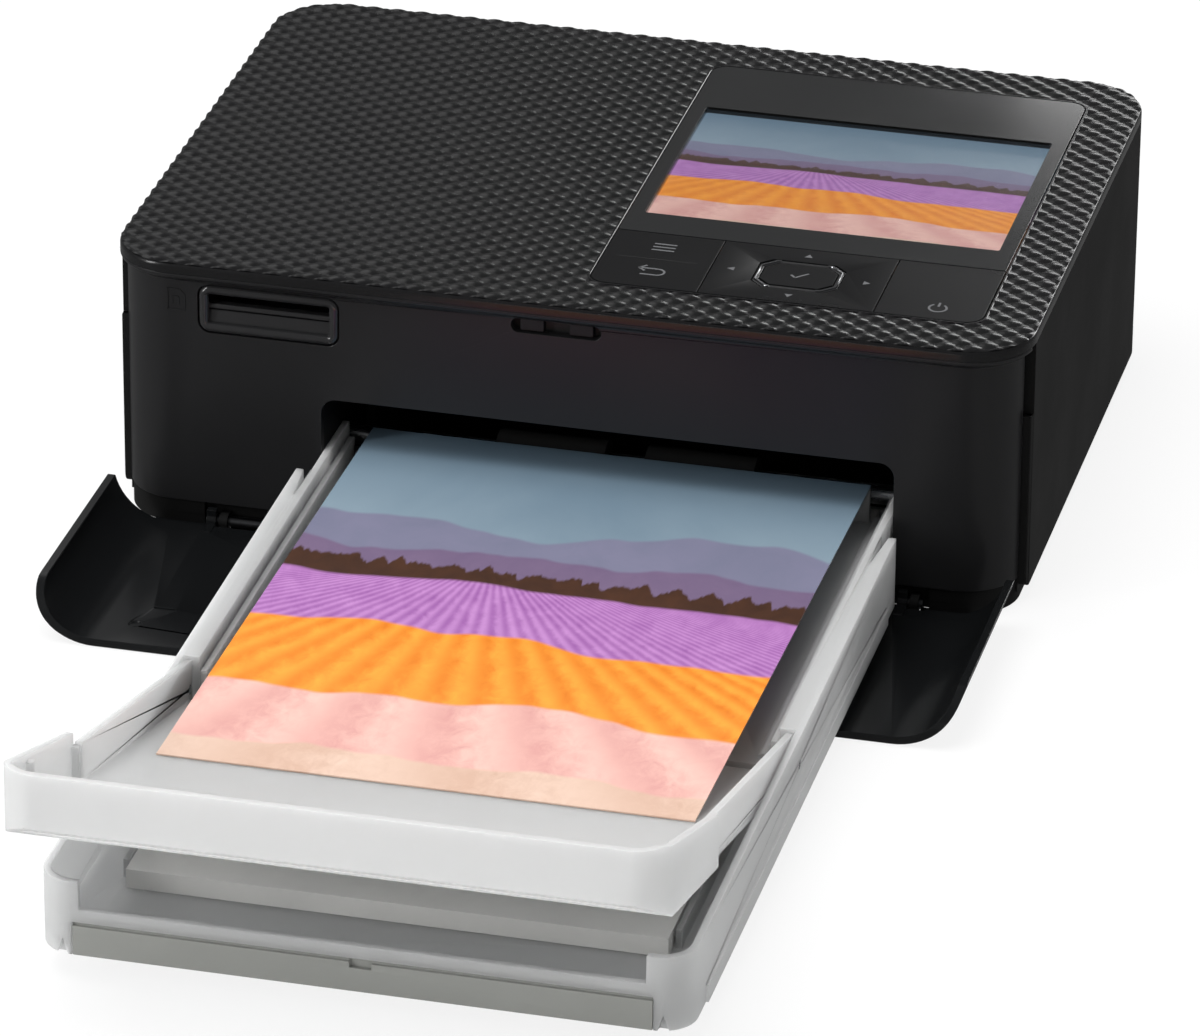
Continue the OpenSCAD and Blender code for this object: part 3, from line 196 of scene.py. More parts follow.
# glazed ceramic bar of the thermal head: smooth, cream and glossy
glazedCeramic = mouldedPlastic("glazedCeramic", "#d9d3c4", 0.15, grain=1.5, depth=0.002)
# uncoated back of the photo paper: chalky white
plainPaper = mouldedPlastic("plainPaper", "#f4f3f0", 0.7, grain=0.2, depth=0.004, specular=0.3)
# dye film, thin smooth polyester with a brown-gold cast
dyeFilm = mouldedPlastic("dyeFilm", "#6d5420", 0.18, grain=3, depth=0.002)
# ground steel shafts and rods: fine lines and a clean highlight
groundSteel = bareMetal("groundSteel", "#b9bbbe", 0.25, spacing=0.3, brushed=True)
# zinc-plated sheet, cloudy grey
zincedSheet = bareMetal("zincedSheet", "#a9acaf", 0.4)
# extruded aluminium of the head and its heat sink: dull, with drawn lines
extrudedAluminium = bareMetal("extrudedAluminium", "#b4b7ba", 0.35, spacing=0.5, brushed=True)
# tin-plated shells of the sockets, darker and glossier
tinPlate = bareMetal("tinPlate", "#8b8d90", 0.3, spacing=0.4, brushed=True)
# cassette and lids of frosted polystyrene: milky light grey
frostedStyrene = frostedPlastic("frostedStyrene", "#cfd0d0", roughness=0.42, clearness=0.26, milk=10)
# hinge rods, steel blackened by oiling: dark with a dull shine
blackSteel = bareMetal("blackSteel", "#4a4b4d", 0.38, spacing=0.4, brushed=True)
print("materials made")


# the CAD pieces keep their meshes and get a finish, soft edges and smooth curves

def smoothByAngle():
    tree = bpy.data.node_groups.new("smoothByAngle", "GeometryNodeTree")
    tree.interface.new_socket("Geometry", in_out="INPUT", socket_type="NodeSocketGeometry")
    sharpFrom = tree.interface.new_socket("Sharp From", in_out="INPUT", socket_type="NodeSocketFloat")
    sharpFrom.default_value = math.radians(creaseAngle)
    tree.interface.new_socket("Geometry", in_out="OUTPUT", socket_type="NodeSocketGeometry")
    given = addNode(tree, "NodeGroupInput")
    made = addNode(tree, "NodeGroupOutput")
    faces = addNode(tree, "GeometryNodeSetShadeSmooth",
                    {"Geometry": given.outputs["Geometry"], "Shade Smooth": True}, domain="FACE")
    angle = addNode(tree, "GeometryNodeInputMeshEdgeAngle")
    sharp = addNode(tree, "FunctionNodeCompare", {0: angle.outputs[0], 1: given.outputs["Sharp From"]},
                    operation="GREATER_THAN")
    edges = addNode(tree, "GeometryNodeSetShadeSmooth",
                    {"Geometry": faces.outputs[0], "Selection": sharp.outputs[0], "Shade Smooth": False},
                    domain="EDGE")
    tree.links.new(edges.outputs[0], made.inputs[0])
    return tree


def softenEdges(obj, width, segments=2, **settings):
    # width in mm
    soft = obj.modifiers.new("softEdge", "BEVEL")
    soft.width = width / 1000
    soft.segments = segments
    for name, value in settings.items():
        setattr(soft, name, value)


smoothTree = smoothByAngle()


def finishNode(obj, material, edge):
    obj.data.materials.clear()
    obj.data.materials.append(material)
    weld = obj.modifiers.new("weld", "WELD")
    weld.merge_threshold = 0.002 / 1000
    smooth = obj.modifiers.new("smooth", "NODES")
    smooth.node_group = smoothTree
    if edge:
        softenEdges(obj, edge, limit_method="ANGLE", angle_limit=math.radians(softFrom),
                    use_clamp_overlap=False, miter_outer="MITER_ARC", harden_normals=True)


# finish of each piece of the drawing, and how far its edges are rounded, in mm
finishes = {
    "front_case": (satinAbs, 0.15), "left_panel": (mattAbs, 0.2), "ink_door": (mattAbs, 0.2),
    "rear_case": (mattAbs, 0.15), "dust_flap": (mattAbs, 0.15), "base_pan": (mattAbs, 0),
    "panel_frame": (worksAbs, 0), "menu_key": (keyAbs, 0.1), "cross_key": (keyAbs, 0.1),
    "ok_key": (keyAbs, 0.12), "power_key": (keyAbs, 0.1), "ok_collar": (collarAbs, 0.1),
    "front_flap": (polishedAbs, 0.15), "card_bezel": (collarAbs, 0), "latch_catch": (worksAbs, 0.15),
    "card_reader": (worksAbs, 0), "cassette_base": (frostedStyrene, 0.15),
    "cassette_lid": (frostedStyrene, 0.12), "rubber_feet": (nitrileRubber, 0.2),
    "cassette_front_lid": (frostedStyrene, 0.15), "cassette_bar": (greyAbs, 0.12),
    "flap_rods": (blackSteel, 0), "lid_pins": (groundSteel, 0), "door_pins": (groundSteel, 0),
    "case_screws": (groundSteel, 0), "paper_stack": (plainPaper, 0), "paper_bay": (worksAbs, 0),
    "feed_roller": (nitrileRubber, 0.1), "feed_shaft": (groundSteel, 0), "capstan_roller": (groundSteel, 0),
    "pinch_roller": (nitrileRubber, 0.1), "platen_roller": (nitrileRubber, 0.1),
    "chassis_left": (zincedSheet, 0), "chassis_right": (zincedSheet, 0), "chassis_ties": (zincedSheet, 0),
    "print_head": (glazedCeramic, 0), "head_carrier": (extrudedAluminium, 0),
    "heat_sink": (extrudedAluminium, 0), "drive_pinion": (naturalAcetal, 0),
    "capstan_gear": (naturalAcetal, 0), "feed_gear": (naturalAcetal, 0), "ribbon_pinion": (naturalAcetal, 0),
    "takeup_gear": (naturalAcetal, 0), "drive_motor": (zincedSheet, 0), "ribbon_motor": (zincedSheet, 0),
    "motor_bracket": (zincedSheet, 0), "ribbon_shell": (ribbonStyrene, 0.12),
    "takeup_spool": (ribbonStyrene, 0), "supply_spool": (ribbonStyrene, 0), "ribbon_film": (dyeFilm, 0),
    "eject_lever": (worksAbs, 0.12), "main_board": (solderMask, 0), "board_parts": (worksAbs, 0),
    "key_board": (solderMask, 0), "dc_inlet": (tinPlate, 0), "usb_port": (tinPlate, 0),
}
for name, (material, edge) in finishes.items():
    finishNode(nodes[name], material, edge)
print("finishes on", len(finishes), "pieces")


# camera and studio

# angles in degrees, clip in metres, the rest in mm
view = {"azimuth": 13.727, "elevation": 26.503, "roll": 0.485, "lens": 247.43, "sensor": 36,
        "clip": (0.05, 30), "distance": 1561.7, "target": (107.782, -33.09, 30)}


def makeCamera(spec):
    az, el, roll = (math.radians(spec[key]) for key in ("azimuth", "elevation", "roll"))
    back = Vector((math.sin(az) * math.cos(el), -math.cos(az) * math.cos(el), math.sin(el)))
    right = Vector((math.cos(az), math.sin(az), 0))
    up = back.cross(right)
    turned = math.cos(roll) * right + math.sin(roll) * up
    upright = math.cos(roll) * up - math.sin(roll) * right
    lens = bpy.data.cameras.new("camera")
    lens.lens = spec["lens"]
    lens.sensor_width = spec["sensor"]
    lens.clip_start, lens.clip_end = spec["clip"]
    camera = addObject("camera", lens)
    place = at(*spec["target"]) + back * spec["distance"] / 1000
    camera.matrix_world = Matrix((turned, upright, back)).transposed().to_4x4()
    camera.matrix_world.translation = place
    bpy.context.scene.camera = camera


makeCamera(view)
bpy.context.scene.view_settings.view_transform = "Standard"


def softBox(name, place, aim, size, power, mirrored=True):
    # a lamp that isn't mirrored lights the object without showing in its gloss
    lamp = bpy.data.lights.new(name, "AREA")
    lamp.shape = "RECTANGLE"
    lamp.size, lamp.size_y = size
    lamp.energy = power
    holder = addObject(name, lamp)
    holder.location = place
    holder.rotation_euler = (Vector(aim) - Vector(place)).to_track_quat("-Z", "Y").to_euler()
    holder.visible_glossy = mirrored
    holder.visible_camera = False


# place, aim and size in metres, power in watts
lamps = {
    "topBox": {"place": (-0.3, -0.2, 1.4), "aim": (0, -0.05, 0.03), "size": (1.0, 1.0), "power": 20,
               "mirrored": False},
    "frontFill": {"place": (-0.9, -1.5, 0.5), "aim": (0, -0.1, 0.02), "size": (1.0, 0.5), "power": 1.2,
                  "mirrored": False},
    "leftStrip": {"place": (-1.0, -0.75, 0.45), "aim": (-0.05, 0, 0.03), "size": (0.16, 0.9), "power": 8},
    "backStrip": {"place": (0.27, 1.2, 0.40), "aim": (0.02, 0.05, 0.05), "size": (0.82, 0.28), "power": 2.5},
    "skyStrip": {"place": (-0.7, 1.0, 0.95), "aim": (0, 0.05, 0.05), "size": (0.7, 0.5), "power": 0.8},
    "edgeStrip": {"place": (0.62, 1.15, 0.45), "aim": (0.09, 0, 0.05), "size": (0.35, 0.3), "power": 2.5},
}
for name, spec in lamps.items():
    softBox(name, **spec)

# pale floor: white to the camera with the shadow kept, and dim where gloss mirrors it, so that black
# plastic stays black; half its side and how far it lies under the feet are in metres
floorSpec = {"half": 6.0, "sink": 0.00002, "colour": "#f2f2f2", "plain": 0.85, "inGloss": 0.2}


def makeFloor(spec):
    bm = bmesh.new()
    half, low = spec["half"], -spec["sink"]
    corners = [bm.verts.new((x * half, y * half, low)) for x, y in ((-1, -1), (1, -1), (1, 1), (-1, 1))]
    bm.faces.new(corners)
    floor = addMesh("floor", bm)
    material = bpy.data.materials.new("paperSweep")
    tree = emptyTree(material)
    out = addNode(tree, "ShaderNodeOutputMaterial")
    shader = addNode(tree, "ShaderNodeBsdfPrincipled",
                     {"Base Color": toLinear(spec["colour"]), "Roughness": 0.9})
    ray = addNode(tree, "ShaderNodeLightPath").outputs
    level = addNode(tree, "ShaderNodeMapRange",
                    {"Value": ray["Is Glossy Ray"], "To Min": 1.0, "To Max": spec["inGloss"]})
    glow = addNode(tree, "ShaderNodeEmission", {"Color": (1, 1, 1, 1), "Strength": level.outputs[0]})
    seen = addNode(tree, "ShaderNodeMath", {0: ray["Is Camera Ray"], 1: ray["Is Transmission Ray"]},
                   operation="MAXIMUM")
    # what doesn't glow to the camera is lit, and so shows the shadow
    share = addNode(tree, "ShaderNodeMath", {0: seen.outputs[0], 1: spec["plain"]}, operation="MULTIPLY")
    most = addNode(tree, "ShaderNodeMath", {0: share.outputs[0], 1: ray["Is Glossy Ray"]},
                   operation="MAXIMUM")
    mix = addNode(tree, "ShaderNodeMixShader",
                  {0: most.outputs[0], 1: shader.outputs[0], 2: glow.outputs[0]})
    tree.links.new(mix.outputs[0], out.inputs[0])
    floor.data.materials.append(material)


makeFloor(floorSpec)

# room: white to the eye, an even grey for the light it gives, and dim where gloss mirrors it
roomSpec = {"seen": 1.0, "light": 0.5, "inGloss": 0.16}


def makeRoom(spec):
    world = bpy.data.worlds.new("room")
    bpy.context.scene.world = world
    tree = emptyTree(world)
    out = addNode(tree, "ShaderNodeOutputWorld")
    ray = addNode(tree, "ShaderNodeLightPath").outputs
    level = addNode(tree, "ShaderNodeMapRange",
                    {"Value": ray["Is Camera Ray"], "To Min": spec["light"], "To Max": spec["seen"]})
    dim = addNode(tree, "ShaderNodeMix",
                  {"Factor": ray["Is Glossy Ray"], "A": level.outputs[0], "B": spec["inGloss"]})
    glow = addNode(tree, "ShaderNodeBackground", {"Color": (1, 1, 1, 1), "Strength": dim.outputs["Result"]})
    tree.links.new(glow.outputs[0], out.inputs[0])


makeRoom(roomSpec)
print("camera, lamps and floor placed")


# top cover: a shell with a rolled edge under a knurled skin, in place of the drawn cover

# panel is the opening for the keys and the screen, and rim the raised edge round it
cover = {"bottom": 55.02, "top": 57.2, "roll": 0.85, "rollSteps": 6, "wall": 1.9,
         "panel": (93.5, 12.4, 171.3, 121.0), "panelRadius": 3.6,
         "rim": 0.5, "rimTop": 57.5, "rimSoft": (0.12, 0.1)}
# lift is how far the foot of the bumps lies over the top of the case, wrap how far the skin goes on
# round the rolled edge, seam how far it runs into the rim, and overhang what is cut off again
knurl = {"stepAcross": 5.2, "stepBack": 4.3, "height": 0.34, "lift": 0.22, "pointsPerSide": 7,
         "wrap": 0.55, "seam": 0.04, "overhang": 14, "sharpFrom": 16}


def roundedOutline(x0, y0, x1, y1, radius, steps):
    # corner points of a rounded rectangle, anticlockwise
    points = []
    for cx, cy, start in ((x1 - radius, y0 + radius, -90), (x1 - radius, y1 - radius, 0),
                          (x0 + radius, y1 - radius, 90), (x0 + radius, y0 + radius, 180)):
        for i in range(steps + 1):
            a = math.radians(start + 90 * i / steps)
            points.append((cx + radius * math.cos(a), cy + radius * math.sin(a)))
    return points


def caseOutline(inset, steps=18):
    return roundedOutline(inset, inset, case["width"] - inset, case["depth"] - inset,
                          case["corner"] - inset, steps)


def panelOutline(outset, steps=8):
    x0, y0, x1, y1 = cover["panel"]
    return roundedOutline(x0 - outset, y0 - outset, x1 + outset, y1 + outset,
                          cover["panelRadius"] + outset, steps)


def addPiece(name, bm, material, body, sharpFrom=creaseAngle):
    # a piece of the scene's own, with its creases kept, that rides on its body
    bmesh.ops.remove_doubles(bm, verts=bm.verts, dist=tiny)
    for face in bm.faces:
        face.smooth = True
    for edge in bm.edges:
        edge.smooth = len(edge.link_faces) == 2 and edge.calc_face_angle() < math.radians(sharpFrom)
    piece = addMesh(name, bm)
    piece.data.materials.append(material)
    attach(piece, body)
    return piece


def joinLoops(bm, loops):
    # skins neighbouring loops with quads; loops run anticlockwise seen from above
    rows = [[bm.verts.new(p) for p in loop] for loop in loops]
    for a, b in zip(rows, rows[1:]):
        n = len(a)
        for i in range(n):
            bm.faces.new((a[i], a[(i + 1) % n], b[(i + 1) % n], b[i]))
    return rows


def ringEdges(bm, ring):
    return [bm.edges.get((ring[i], ring[(i + 1) % len(ring)])) for i in range(len(ring))]


def makeCover(spec):
    bm = bmesh.new()
    profile = [(spec["wall"], spec["bottom"]), (0, spec["bottom"])]
    for i in range(spec["rollSteps"] + 1):
        a = math.radians(90 * i / spec["rollSteps"])
        profile.append((spec["roll"] * (1 - math.cos(a)), spec["top"] - spec["roll"] * (1 - math.sin(a))))
    outer = joinLoops(bm, [[at(x, y, z) for x, y in caseOutline(inset)] for inset, z in profile])[-1]
    rim, rimTop = spec["rim"], spec["rimTop"]
    outSoft, inSoft = spec["rimSoft"]
    rise = [(rim, spec["top"]), (rim, rimTop - outSoft), (rim - outSoft, rimTop), (inSoft, rimTop),
            (0, rimTop - inSoft), (0, spec["bottom"])]
    inner = joinLoops(bm, [[at(x, y, z) for x, y in panelOutline(out)] for out, z in rise])[0]
    bmesh.ops.triangle_fill(bm, edges=ringEdges(bm, outer) + ringEdges(bm, inner), use_beauty=True,
                            normal=(0, 0, 1))
    bmesh.ops.recalc_face_normals(bm, faces=bm.faces)
    piece = addPiece("coverShell", bm, knurledAbs, "case")
    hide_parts("top_cover")


def knurlTree():
    tree = bpy.data.node_groups.new("knurlLattice", "GeometryNodeTree")
    kinds = {"Width": "Float", "Depth": "Float", "Step Across": "Float", "Step Back": "Float",
             "Height": "Float", "Points Per Side": "Int", "Finish": "Material"}
    for name, kind in kinds.items():
        tree.interface.new_socket(name, in_out="INPUT", socket_type="NodeSocket" + kind)
    tree.interface.new_socket("Geometry", in_out="OUTPUT", socket_type="NodeSocketGeometry")
    given = addNode(tree, "NodeGroupInput").outputs
    made = addNode(tree, "NodeGroupOutput")
    # the lattice is a grid and a copy of it shifted by half a step both ways
    spans, points, halves = [], [], []
    for length, step in (("Width", "Step Across"), ("Depth", "Step Back")):
        exact = addNode(tree, "ShaderNodeMath", {0: given[length], 1: given[step]}, operation="DIVIDE")
        count = addNode(tree, "ShaderNodeMath", {0: exact.outputs[0]}, operation="CEIL").outputs[0]
        span = addNode(tree, "ShaderNodeMath", {0: count, 1: given[step]}, operation="MULTIPLY")
        point = addNode(tree, "ShaderNodeMath", {0: count, 1: 1.0}, operation="ADD")
        half = addNode(tree, "ShaderNodeMath", {0: given[step], 1: 0.5}, operation="MULTIPLY")
        spans.append(span.outputs[0])
        points.append(point.outputs[0])
        halves.append(half.outputs[0])
    grid = addNode(tree, "GeometryNodeMeshGrid",
                   {"Size X": spans[0], "Size Y": spans[1], "Vertices X": points[0], "Vertices Y": points[1]})
    shift = addNode(tree, "ShaderNodeCombineXYZ", {"X": halves[0], "Y": halves[1]})
    second = addNode(tree, "GeometryNodeTransform",
                     {"Geometry": grid.outputs[0], "Translation": shift.outputs[0]})
    both = addNode(tree, "GeometryNodeJoinGeometry")
    tree.links.new(grid.outputs[0], both.inputs[0])
    tree.links.new(second.outputs[0], both.inputs[0])
    # one bump: a small grid from -1 to 1, raised to (1 - u^2)(1 - v^2), then turned into a lozenge
    patch = addNode(tree, "GeometryNodeMeshGrid",
                    {"Size X": 2.0, "Size Y": 2.0, "Vertices X": given["Points Per Side"],
                     "Vertices Y": given["Points Per Side"]})
    where = addNode(tree, "GeometryNodeInputPosition")
    part = addNode(tree, "ShaderNodeSeparateXYZ", {0: where.outputs[0]}).outputs
    u, v = part["X"], part["Y"]
    squareU = addNode(tree, "ShaderNodeMath", {0: u, 1: u, 2: -1.0}, operation="MULTIPLY_ADD")
    squareV = addNode(tree, "ShaderNodeMath", {0: v, 1: v, 2: -1.0}, operation="MULTIPLY_ADD")
    dome = addNode(tree, "ShaderNodeMath", {0: squareU.outputs[0], 1: squareV.outputs[0]},
                   operation="MULTIPLY")
    plus = addNode(tree, "ShaderNodeMath", {0: u, 1: v}, operation="ADD")
    minus = addNode(tree, "ShaderNodeMath", {0: v, 1: u}, operation="SUBTRACT")
    lozengeX = addNode(tree, "ShaderNodeMath", {0: plus.outputs[0], 1: 0.5}, operation="MULTIPLY")
    lozengeY = addNode(tree, "ShaderNodeMath", {0: minus.outputs[0], 1: 0.5}, operation="MULTIPLY")
    moved = addNode(tree, "ShaderNodeCombineXYZ",
                    {"X": lozengeX.outputs[0], "Y": lozengeY.outputs[0], "Z": dome.outputs[0]})
    bump = addNode(tree, "GeometryNodeSetPosition",
                   {"Geometry": patch.outputs[0], "Position": moved.outputs[0]})
    size = addNode(tree, "ShaderNodeCombineXYZ", {"X": halves[0], "Y": halves[1], "Z": given["Height"]})
    placed = addNode(tree, "GeometryNodeInstanceOnPoints",
                     {"Points": both.outputs[0], "Instance": bump.outputs[0], "Scale": size.outputs[0]})
    real = addNode(tree, "GeometryNodeRealizeInstances", {"Geometry": placed.outputs[0]})
    joined = addNode(tree, "GeometryNodeMergeByDistance",
                     {"Geometry": real.outputs[0], "Distance": 0.02 / 1000})
    finished = addNode(tree, "GeometryNodeSetMaterial",
                       {"Geometry": joined.outputs[0], "Material": given["Finish"]})
    tree.links.new(finished.outputs[0], made.inputs[0])
    return tree


def runTree(name, tree, values):
    # gives the tree its sizes, runs it once and returns the result as a plain mesh
    holder = addObject(name + "Maker", bpy.data.meshes.new(name + "Maker"))
    modifier = holder.modifiers.new("maker", "NODES")
    modifier.node_group = tree
    keys = {item.name: item.identifier for item in tree.interface.items_tree if item.in_out == "INPUT"}
    for key, value in values.items():
        modifier[keys[key]] = value
    graph = bpy.context.evaluated_depsgraph_get()
    mesh = bpy.data.meshes.new_from_object(holder.evaluated_get(graph), depsgraph=graph)
    bpy.data.objects.remove(holder)
    return mesh


def insideOf(points):
    # a test of whether a point lies inside the outline
    flat = [at(x, y, 0) for x, y in points]

    def test(p):
        inside = False
        for a, b in zip(flat, flat[1:] + flat[:1]):
            if (a.y > p.y) != (b.y > p.y) and p.x < (b.x - a.x) * (p.y - a.y) / (b.y - a.y) + a.x:
                inside = not inside
        return inside

    return test


def cutAlong(bm, points, keepInside):
    # cuts the mesh along the outline, then drops what lies on the wrong side of it
    shortest = 0.01  # mm; shorter sides are skipped
    margin = 0.002  # metres; each cut runs on this far past its side
    for (x0, y0), (x1, y1) in zip(points, points[1:] + points[:1]):
        if math.hypot(x1 - x0, y1 - y0) < shortest:
            continue
        normal = Vector((y1 - y0, x0 - x1, 0)).normalized()
        a, b = at(x0, y0, case["top"]), at(x1, y1, case["top"])
        along = (b - a).normalized()
        near = []
        for face in bm.faces:
            offs = [(v.co - a).dot(normal) for v in face.verts]
            if min(offs) < -tiny and max(offs) > tiny:
                reach = [(v.co - a).dot(along) for v in face.verts]
                if max(reach) > -margin and min(reach) < (b - a).length + margin:
                    near.append(face)
        if near:
            parts = list({e for f in near for e in f.edges} | {v for f in near for v in f.verts}) + near
            bmesh.ops.bisect_plane(bm, geom=parts, plane_co=a, plane_no=normal, dist=tiny)
    test = insideOf(points)
    gone = [f for f in bm.faces if test(f.calc_center_median()) != keepInside]
    bmesh.ops.delete(bm, geom=gone, context="FACES")


def wrapOver(bm, roll, base):
    # bends what lies beyond the start of the rolled edge down around it
    cornerX = (at(case["corner"], 0, 0).x, at(case["width"] - case["corner"], 0, 0).x)
    cornerY = (at(0, case["corner"], 0).y, at(0, case["depth"] - case["corner"], 0).y)
    start = (case["corner"] - roll) / 1000
    for v in bm.verts:
        near = Vector((min(max(v.co.x, cornerX[0]), cornerX[1]), min(max(v.co.y, cornerY[0]), cornerY[1])))
        off = Vector((v.co.x, v.co.y)) - near
        over = off.length - start
        if over <= 0:
            continue
        out = off.normalized()
        turn = over / (roll / 1000)
        radius = roll / 1000 + (v.co.z - base)
        edge = near + out * start
        v.co.x = edge.x + out.x * radius * math.sin(turn)
        v.co.y = edge.y + out.y * radius * math.sin(turn)
        v.co.z = base - roll / 1000 + radius * math.cos(turn)


def makeKnurl(spec):
    lengths = {"Width": case["width"] + spec["overhang"], "Depth": case["depth"] + spec["overhang"],
               "Step Across": spec["stepAcross"], "Step Back": spec["stepBack"], "Height": spec["height"]}
    values = {key: length / 1000 for key, length in lengths.items()}
    values.update({"Points Per Side": spec["pointsPerSide"], "Finish": knurledAbs})
    mesh = runTree("knurledSkin", knurlTree(), values)
    base = case["top"] + spec["lift"]
    mesh.transform(Matrix.Translation(at(case["width"] / 2, case["depth"] / 2, base)))
    bm = bmesh.new()
    bm.from_mesh(mesh)
    bpy.data.meshes.remove(mesh)
    cutAlong(bm, caseOutline(cover["roll"] - spec["wrap"], steps=10), True)
    cutAlong(bm, panelOutline(cover["rim"] - spec["seam"], steps=6), False)
    wrapOver(bm, cover["roll"], at(0, 0, base).z)
    bmesh.ops.recalc_face_normals(bm, faces=bm.faces)
    if sum(1 if f.normal.z > 0 else -1 for f in bm.faces) < 0:
        bmesh.ops.reverse_faces(bm, faces=bm.faces)
    piece = addPiece("knurledSkin", bm, knurledAbs, "case", spec["sharpFrom"])
    print("knurled skin,", len(piece.data.polygons), "faces")


makeCover(cover)
makeKnurl(knurl)


# a plain landscape for the screen and the print: sky, hills, a wood and flower fields, all from noise

# each band: how high its upper edge lies (0 bottom, 1 top), how much it waves, how finely,
# its dark and its light colour, and its rows
landscape = {
    "sky": ("#9fb0bb", "#61788a"),  # cloud and clear sky
    "horizon": 0.66, "vanish": 0.38,  # how high and how far across the rows of the fields run together
    "blend": 0.008,  # softness of the edge between two bands
    "noiseStart": 1.7, "noiseStep": 7.3,  # so that each band has a wave of its own
    "foldScale": 8, "foldStep": 5,  # patches get finer from band to band
    "rowBend": 3.0, "rowDepth": 0.22,  # how much the patches bend the rows, and how strongly rows show
    "bands": [
        (0.74, 0.050, 1.8, "#6f7388", "#85829b", 0),  # far hills
        (0.665, 0.030, 3.0, "#6a5a78", "#7d6a86", 0),  # near hills
        (0.615, 0.022, 30.0, "#2b1f1c", "#5b3a28", 0),  # wood
        (0.57, 0.018, 2.2, "#8d4f98", "#c58fca", 46),  # fields, from the far one to the near one
        (0.42, 0.035, 1.7, "#d9730f", "#f8a63c", 30),
        (0.24, 0.040, 1.9, "#cf938e", "#efc3b6", 18),
        (0.075, 0.030, 2.3, "#c9a48f", "#e3c6b4", 11),
    ],
}


def landscapeColour(tree, spot, lo, hi, spec):
    # spot is in mm; the picture fills the box from lo to hi, its top side at the larger Y
    wide, tall = hi[0] - lo[0], hi[1] - lo[1]
    fitted = addNode(tree, "ShaderNodeMapping",
                     {"Vector": spot, "Location": (-lo[0] / wide, -lo[1] / tall, 0),
                      "Scale": (1 / wide, 1 / tall, 0)}).outputs[0]
    part = addNode(tree, "ShaderNodeSeparateXYZ", {0: fitted})
    x, y = part.outputs["X"], part.outputs["Y"]
    haze = addNode(tree, "ShaderNodeTexNoise",
                   {"Vector": fitted, "Scale": 2.0, "Detail": 6, "Roughness": 0.55, "Distortion": 0.4})
    fade = addNode(tree, "ShaderNodeMapRange",
                   {"Value": y, "From Min": 0.6, "From Max": 1.05, "To Min": 1.25, "To Max": 0.1})
    clouds = addNode(tree, "ShaderNodeMath", {0: haze.outputs["Fac"], 1: fade.outputs[0]},
                     operation="MULTIPLY", use_clamp=True)
    cloud, clear = spec["sky"]
    colour = addNode(tree, "ShaderNodeMix",
                     {"Factor": clouds.outputs[0], "A": toLinear(clear), "B": toLinear(cloud)},
                     data_type="RGBA").outputs["Result"]
    # rows of the fields run together at the horizon
    side = addNode(tree, "ShaderNodeMath", {0: x, 1: spec["vanish"]}, operation="SUBTRACT")
    far = addNode(tree, "ShaderNodeMath", {0: spec["horizon"], 1: y}, operation="SUBTRACT")
    lean = addNode(tree, "ShaderNodeMath", {0: side.outputs[0], 1: far.outputs[0]}, operation="DIVIDE")
    for i, (edge, wave, scale, dark, light, rows) in enumerate(spec["bands"]):
        ownPlace = spec["noiseStep"] * i + spec["noiseStart"]
        line = addNode(tree, "ShaderNodeCombineXYZ", {"X": x, "Y": ownPlace})
        crest = addNode(tree, "ShaderNodeTexNoise",
                        {"Vector": line.outputs[0], "Scale": scale, "Detail": 3, "Roughness": 0.5})
        crestY = addNode(tree, "ShaderNodeMapRange",
                         {**noiseRange, "Value": crest.outputs["Fac"], "To Min": edge - wave,
                          "To Max": edge + wave})
        under = addNode(tree, "ShaderNodeMath", {0: crestY.outputs[0], 1: y}, operation="SUBTRACT")
        inBand = addNode(tree, "ShaderNodeMapRange",
                         {"Value": under.outputs[0], "From Min": 0.0, "From Max": spec["blend"]})
        fold = addNode(tree, "ShaderNodeTexNoise",
                       {"Vector": fitted, "Scale": spec["foldScale"] + spec["foldStep"] * i, "Detail": 6,
                        "Roughness": 0.65, "Distortion": 0.5}).outputs["Fac"]
        tone = fold
        if rows:
            phase = addNode(tree, "ShaderNodeMath", {0: lean.outputs[0], 1: rows}, operation="MULTIPLY")
            bent = addNode(tree, "ShaderNodeMath", {0: fold, 1: spec["rowBend"], 2: phase.outputs[0]},
                           operation="MULTIPLY_ADD")
            swell = addNode(tree, "ShaderNodeMath", {0: bent.outputs[0]}, operation="SINE")
            tone = addNode(tree, "ShaderNodeMath", {0: swell.outputs[0], 1: spec["rowDepth"], 2: fold},
                           operation="MULTIPLY_ADD", use_clamp=True).outputs[0]
        fill = addNode(tree, "ShaderNodeMix", {"Factor": tone, "A": toLinear(dark), "B": toLinear(light)},
                       data_type="RGBA")
        colour = addNode(tree, "ShaderNodeMix",
                         {"Factor": inBand.outputs[0], "A": colour, "B": fill.outputs["Result"]},
                         data_type="RGBA").outputs["Result"]
    return colour


def inFrame(x, y):
    # mm from the case corner -> mm in the frame
    p = at(x, y, 0) * 1000
    return (p.x, p.y)


# lower left and upper right corners
printSpec = {"low": (50.3, -134), "high": (150.3, 14)}
screenSpec = {"low": (96.85, 46.4), "high": (167.95, 99.7), "glow": 0.95}


def glossyPrint(name, spec):
    # the overcoat ripples over about 17 mm
    material, tree, shader, spot = startMaterial(name)
    picture = landscapeColour(tree, spot, inFrame(*spec["low"]), inFrame(*spec["high"]), landscape)
    ripple = addNode(tree, "ShaderNodeTexNoise", {"Vector": spot, "Scale": 0.06, "Detail": 2})
    bump = addNode(tree, "ShaderNodeBump",
                   {"Strength": 0.2, "Distance": 0.4 / 1000, "Height": ripple.outputs["Fac"]})
    feed(tree, shader, {"Base Color": picture, "Coat Normal": bump.outputs[0], "Roughness": 0.42,
                        "Coat Weight": 0.35, "Coat Roughness": 0.12})
    return material


